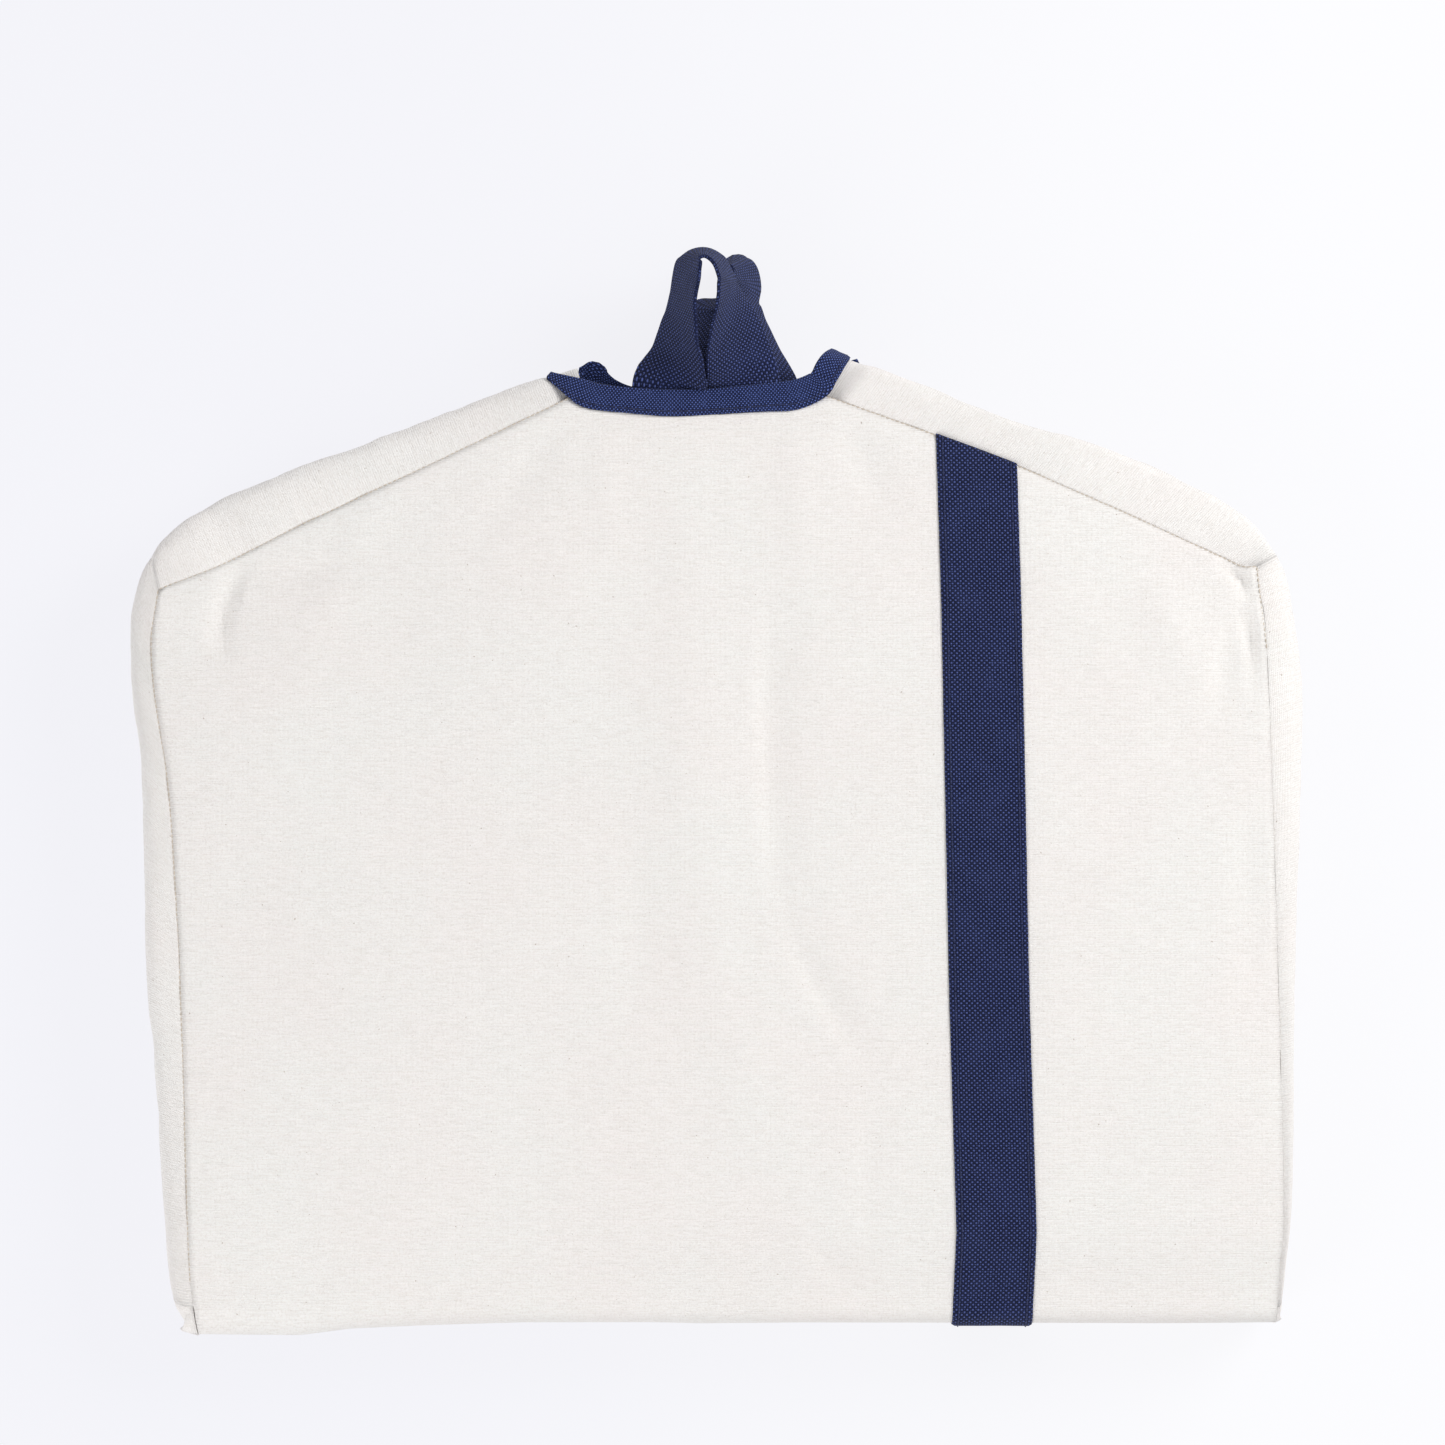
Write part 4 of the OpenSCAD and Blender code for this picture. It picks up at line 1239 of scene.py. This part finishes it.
def fold_zipper(half):
    """The closed zipper where it runs into the pleat: its tape, then its teeth."""
    s = np.linspace(0, 1, 13)
    x = np.linspace(low("zipper_fold")[0], high("zipper_fold")[0], 15)
    points = pleat_leg(x[None, :], s[:, None], half)
    tape = sheet_piece(f"zipper_fold_{half}_tape", points, points[..., :2], thickness=TAPE_T,
                       facing=(0, 0, FACING[half]))
    dress(tape, TAPE, "zipper_tape", "zipper_fold")
    bend_pleat(tape, half)
    depth = abs(CREASE_Y - EDGE_Y)
    run = np.arange(1.0, depth - 1.0, TOOTH_STEP)
    teeth = tooth_rows(f"zipper_fold_{half}_teeth", pleat_leg(0.0, run / depth, half, 0.3)[:, 1:])
    dress(teeth, METAL, "zipper_brass", "zipper_fold")
    bend_pleat(teeth, half)


def zipper():
    chain_z = {half: (low(f"zipper_tape_left_{half}")[2] + high(f"zipper_tape_left_{half}")[2]) / 2
               for half in ("upper", "lower")}
    for side in ("left", "right"):
        for half in ("upper", "lower"):
            tape_strip(side, half, chain_z[half])
    for half in ("upper", "lower"):
        node = f"zipper_teeth_{half}"
        run = np.arange(EDGE_Y + 1, high(node)[1] - 0.8, TOOTH_STEP)
        teeth = tooth_rows(f"{node}_chain", [(y, chain_z[half]) for y in run])
        dress(teeth, METAL, "zipper_brass", node)
        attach(teeth, f"{half}_half")
    for half in ("upper", "lower"):
        fold_zipper(half)
    for node in ("zipper_slider", "zipper_pull_tab", "zipper_top_stops", "zipper_bottom_stop"):
        obj = frame["nodes"][node]
        obj.data.materials.clear()
        obj.data.materials.append(METAL)


# --- Stitching ---

def on_face(points, column, facing):
    """A line of stitches down one column of a grid of points, on the side that faces up or down."""
    normal = grid_normals(points)[:, column] * facing
    return points[:, column] + normal * 0.15, normal


def seam_path(line, n=150):
    """A line of stitches on the upper back panel, along a seam."""
    flat = spline(line, n)
    return upper_point(flat[:, 0], flat[:, 1]), np.tile([0.0, 0, 1.0], (n + 1, 1))


def zipper_paths(half, end_y, count):
    """Two lines of stitches on the front panels at each side of the zipper."""
    paths = []
    for side in ("left", "right"):
        for off in (2.2, 7.5):
            y = np.linspace(EDGE_Y + 2, end_y, count)
            x = np.full(count, ZIP_X + SIGN[side] * (ZIP_EDGE + off))
            z = front_z(x, y, side, half) + FACING[half] * 0.1
            paths.append((np.stack([x, y, z], 1), np.tile([0, 0, float(FACING[half])], (count, 1))))
    return paths


def sew(name, paths, pitch, radius, thread, slot, hold):
    """A piece of stitching, which hold fixes to its body or bakes in place."""
    obj = stitches(name, paths, pitch=pitch, radius=radius)
    dress(obj, thread, slot)
    hold(obj)


def stitching(stripe_grids, binding_paths):
    upper, lower = stripe_grids
    seams = [[p for p in LEFT_SEAM if p[1] > -262], LEFT_SHOULDER, RIGHT_SHOULDER,
             [p for p in RIGHT_SEAM if p[1] > 60]]
    paths = [seam_path(line) for line in seams]
    upper_half, lower_half = hold_to("upper_half"), hold_to("lower_half")
    sew("stripe_upper_stitches", [on_face(upper, c, 1) for c in STITCH_COLUMNS], 3.4, 0.28,
        NAVY_THREAD, "navy_webbing", bend_upper)
    sew("stripe_lower_stitches", [on_face(lower, c, -1) for c in STITCH_COLUMNS], 3.4, 0.28,
        NAVY_THREAD, "navy_webbing", bend_lower)
    sew("neck_binding_stitches", binding_paths, 3.0, 0.25, NAVY_THREAD, "navy_binding", upper_half)
    sew("seam_stitches_upper", paths, 2.6, 0.2, TAN_THREAD, "canvas", upper_half)
    sew("zipper_stitches_upper", zipper_paths("upper", ZIP_TOP_Y - 4, 60), 3.2, 0.26,
        TAN_THREAD, "canvas", upper_half)
    sew("zipper_stitches_lower", zipper_paths("lower", ZIP_LOW_Y - 2, 50), 3.2, 0.26,
        TAN_THREAD, "canvas", lower_half)


back_panel_upper()
back_panel_lower()
fold_gussets(gussets())
front_panels()
pleat()
stripe_points = stripes()
binding_stitches = bindings()
handle("back", BACK_ROUTE, BACK_HINGE, tail=23)
handle("front", FRONT_ROUTE, FRONT_HINGE, tail=22)
zipper()
stitching(stripe_points, binding_stitches)


# --- Camera, floor and light ---

def stage():
    """The floor: dark grey, glowing pale grey and a little brighter towards +X. The glow is painted light
    that washes out the bag's cast shadow and stands in for the key's falloff.
    """
    bpy.ops.mesh.primitive_plane_add(size=6, location=(0, 0, -0.0005))
    floor = bpy.context.object
    floor.name = "floor"
    m, shader = material("floor", (0.08, 0.08, 0.084), 0.9)
    n = Nodes(m)
    place = n.add("ShaderNodeTexCoord").outputs["Object"]
    x = n.add("ShaderNodeSeparateXYZ")
    n.link(place, x.inputs[0])
    # Painted light: the floor glows, brighter towards +X where the key falls.
    glow = n.mix(n.ramp(x.outputs[0], -0.25, 0.35), (0.812, 0.812, 0.85), (0.872, 0.872, 0.888))
    n.link(glow, shader.inputs["Emission Color"])
    shader.inputs["Emission Strength"].default_value = 1.0
    floor.data.materials.append(m)


def area_light(name, where, size, power):
    """A round lamp that shines at the origin."""
    data = bpy.data.lights.new(name, "AREA")
    data.shape = "DISK"
    data.size = size
    data.energy = power
    light = bpy.data.objects.new(name, data)
    light.location = where
    aim = np.array((0, 0, 0)) - np.array(where)
    light.rotation_euler = Vector(aim.tolist()).to_track_quat("-Z", "Y").to_euler()
    bpy.context.scene.collection.objects.link(light)


FIELD = 0.7225  # width of the picture, in metres, at the camera's distance
DISTANCE = 4.0
FIELD_Z = 0.045  # the level at which the picture is that wide


def camera():
    """Looks straight down, over the middle of the picture."""
    data = bpy.data.cameras.new("camera")
    data.lens = data.sensor_width * DISTANCE / FIELD
    data.clip_end = 50
    cam = bpy.data.objects.new("camera", data)
    cam.location = (0.00275, 0.03325, DISTANCE + FIELD_Z)
    bpy.context.scene.collection.objects.link(cam)
    bpy.context.scene.camera = cam


def daylight():
    """A soft, slightly blue light from all round."""
    world = bpy.data.worlds.new("world")
    world.use_nodes = True
    background = world.node_tree.nodes["Background"]
    background.inputs["Color"].default_value = (0.96, 0.97, 1.0, 1)
    background.inputs["Strength"].default_value = 0.65
    bpy.context.scene.world = world


stage()
camera()
area_light("key", (1.7, 1.0, 1.5), size=1.4, power=38)
area_light("fill", (-1.3, -1.4, 1.1), size=1.6, power=18)
daylight()
bpy.context.scene.view_settings.view_transform = "Standard"
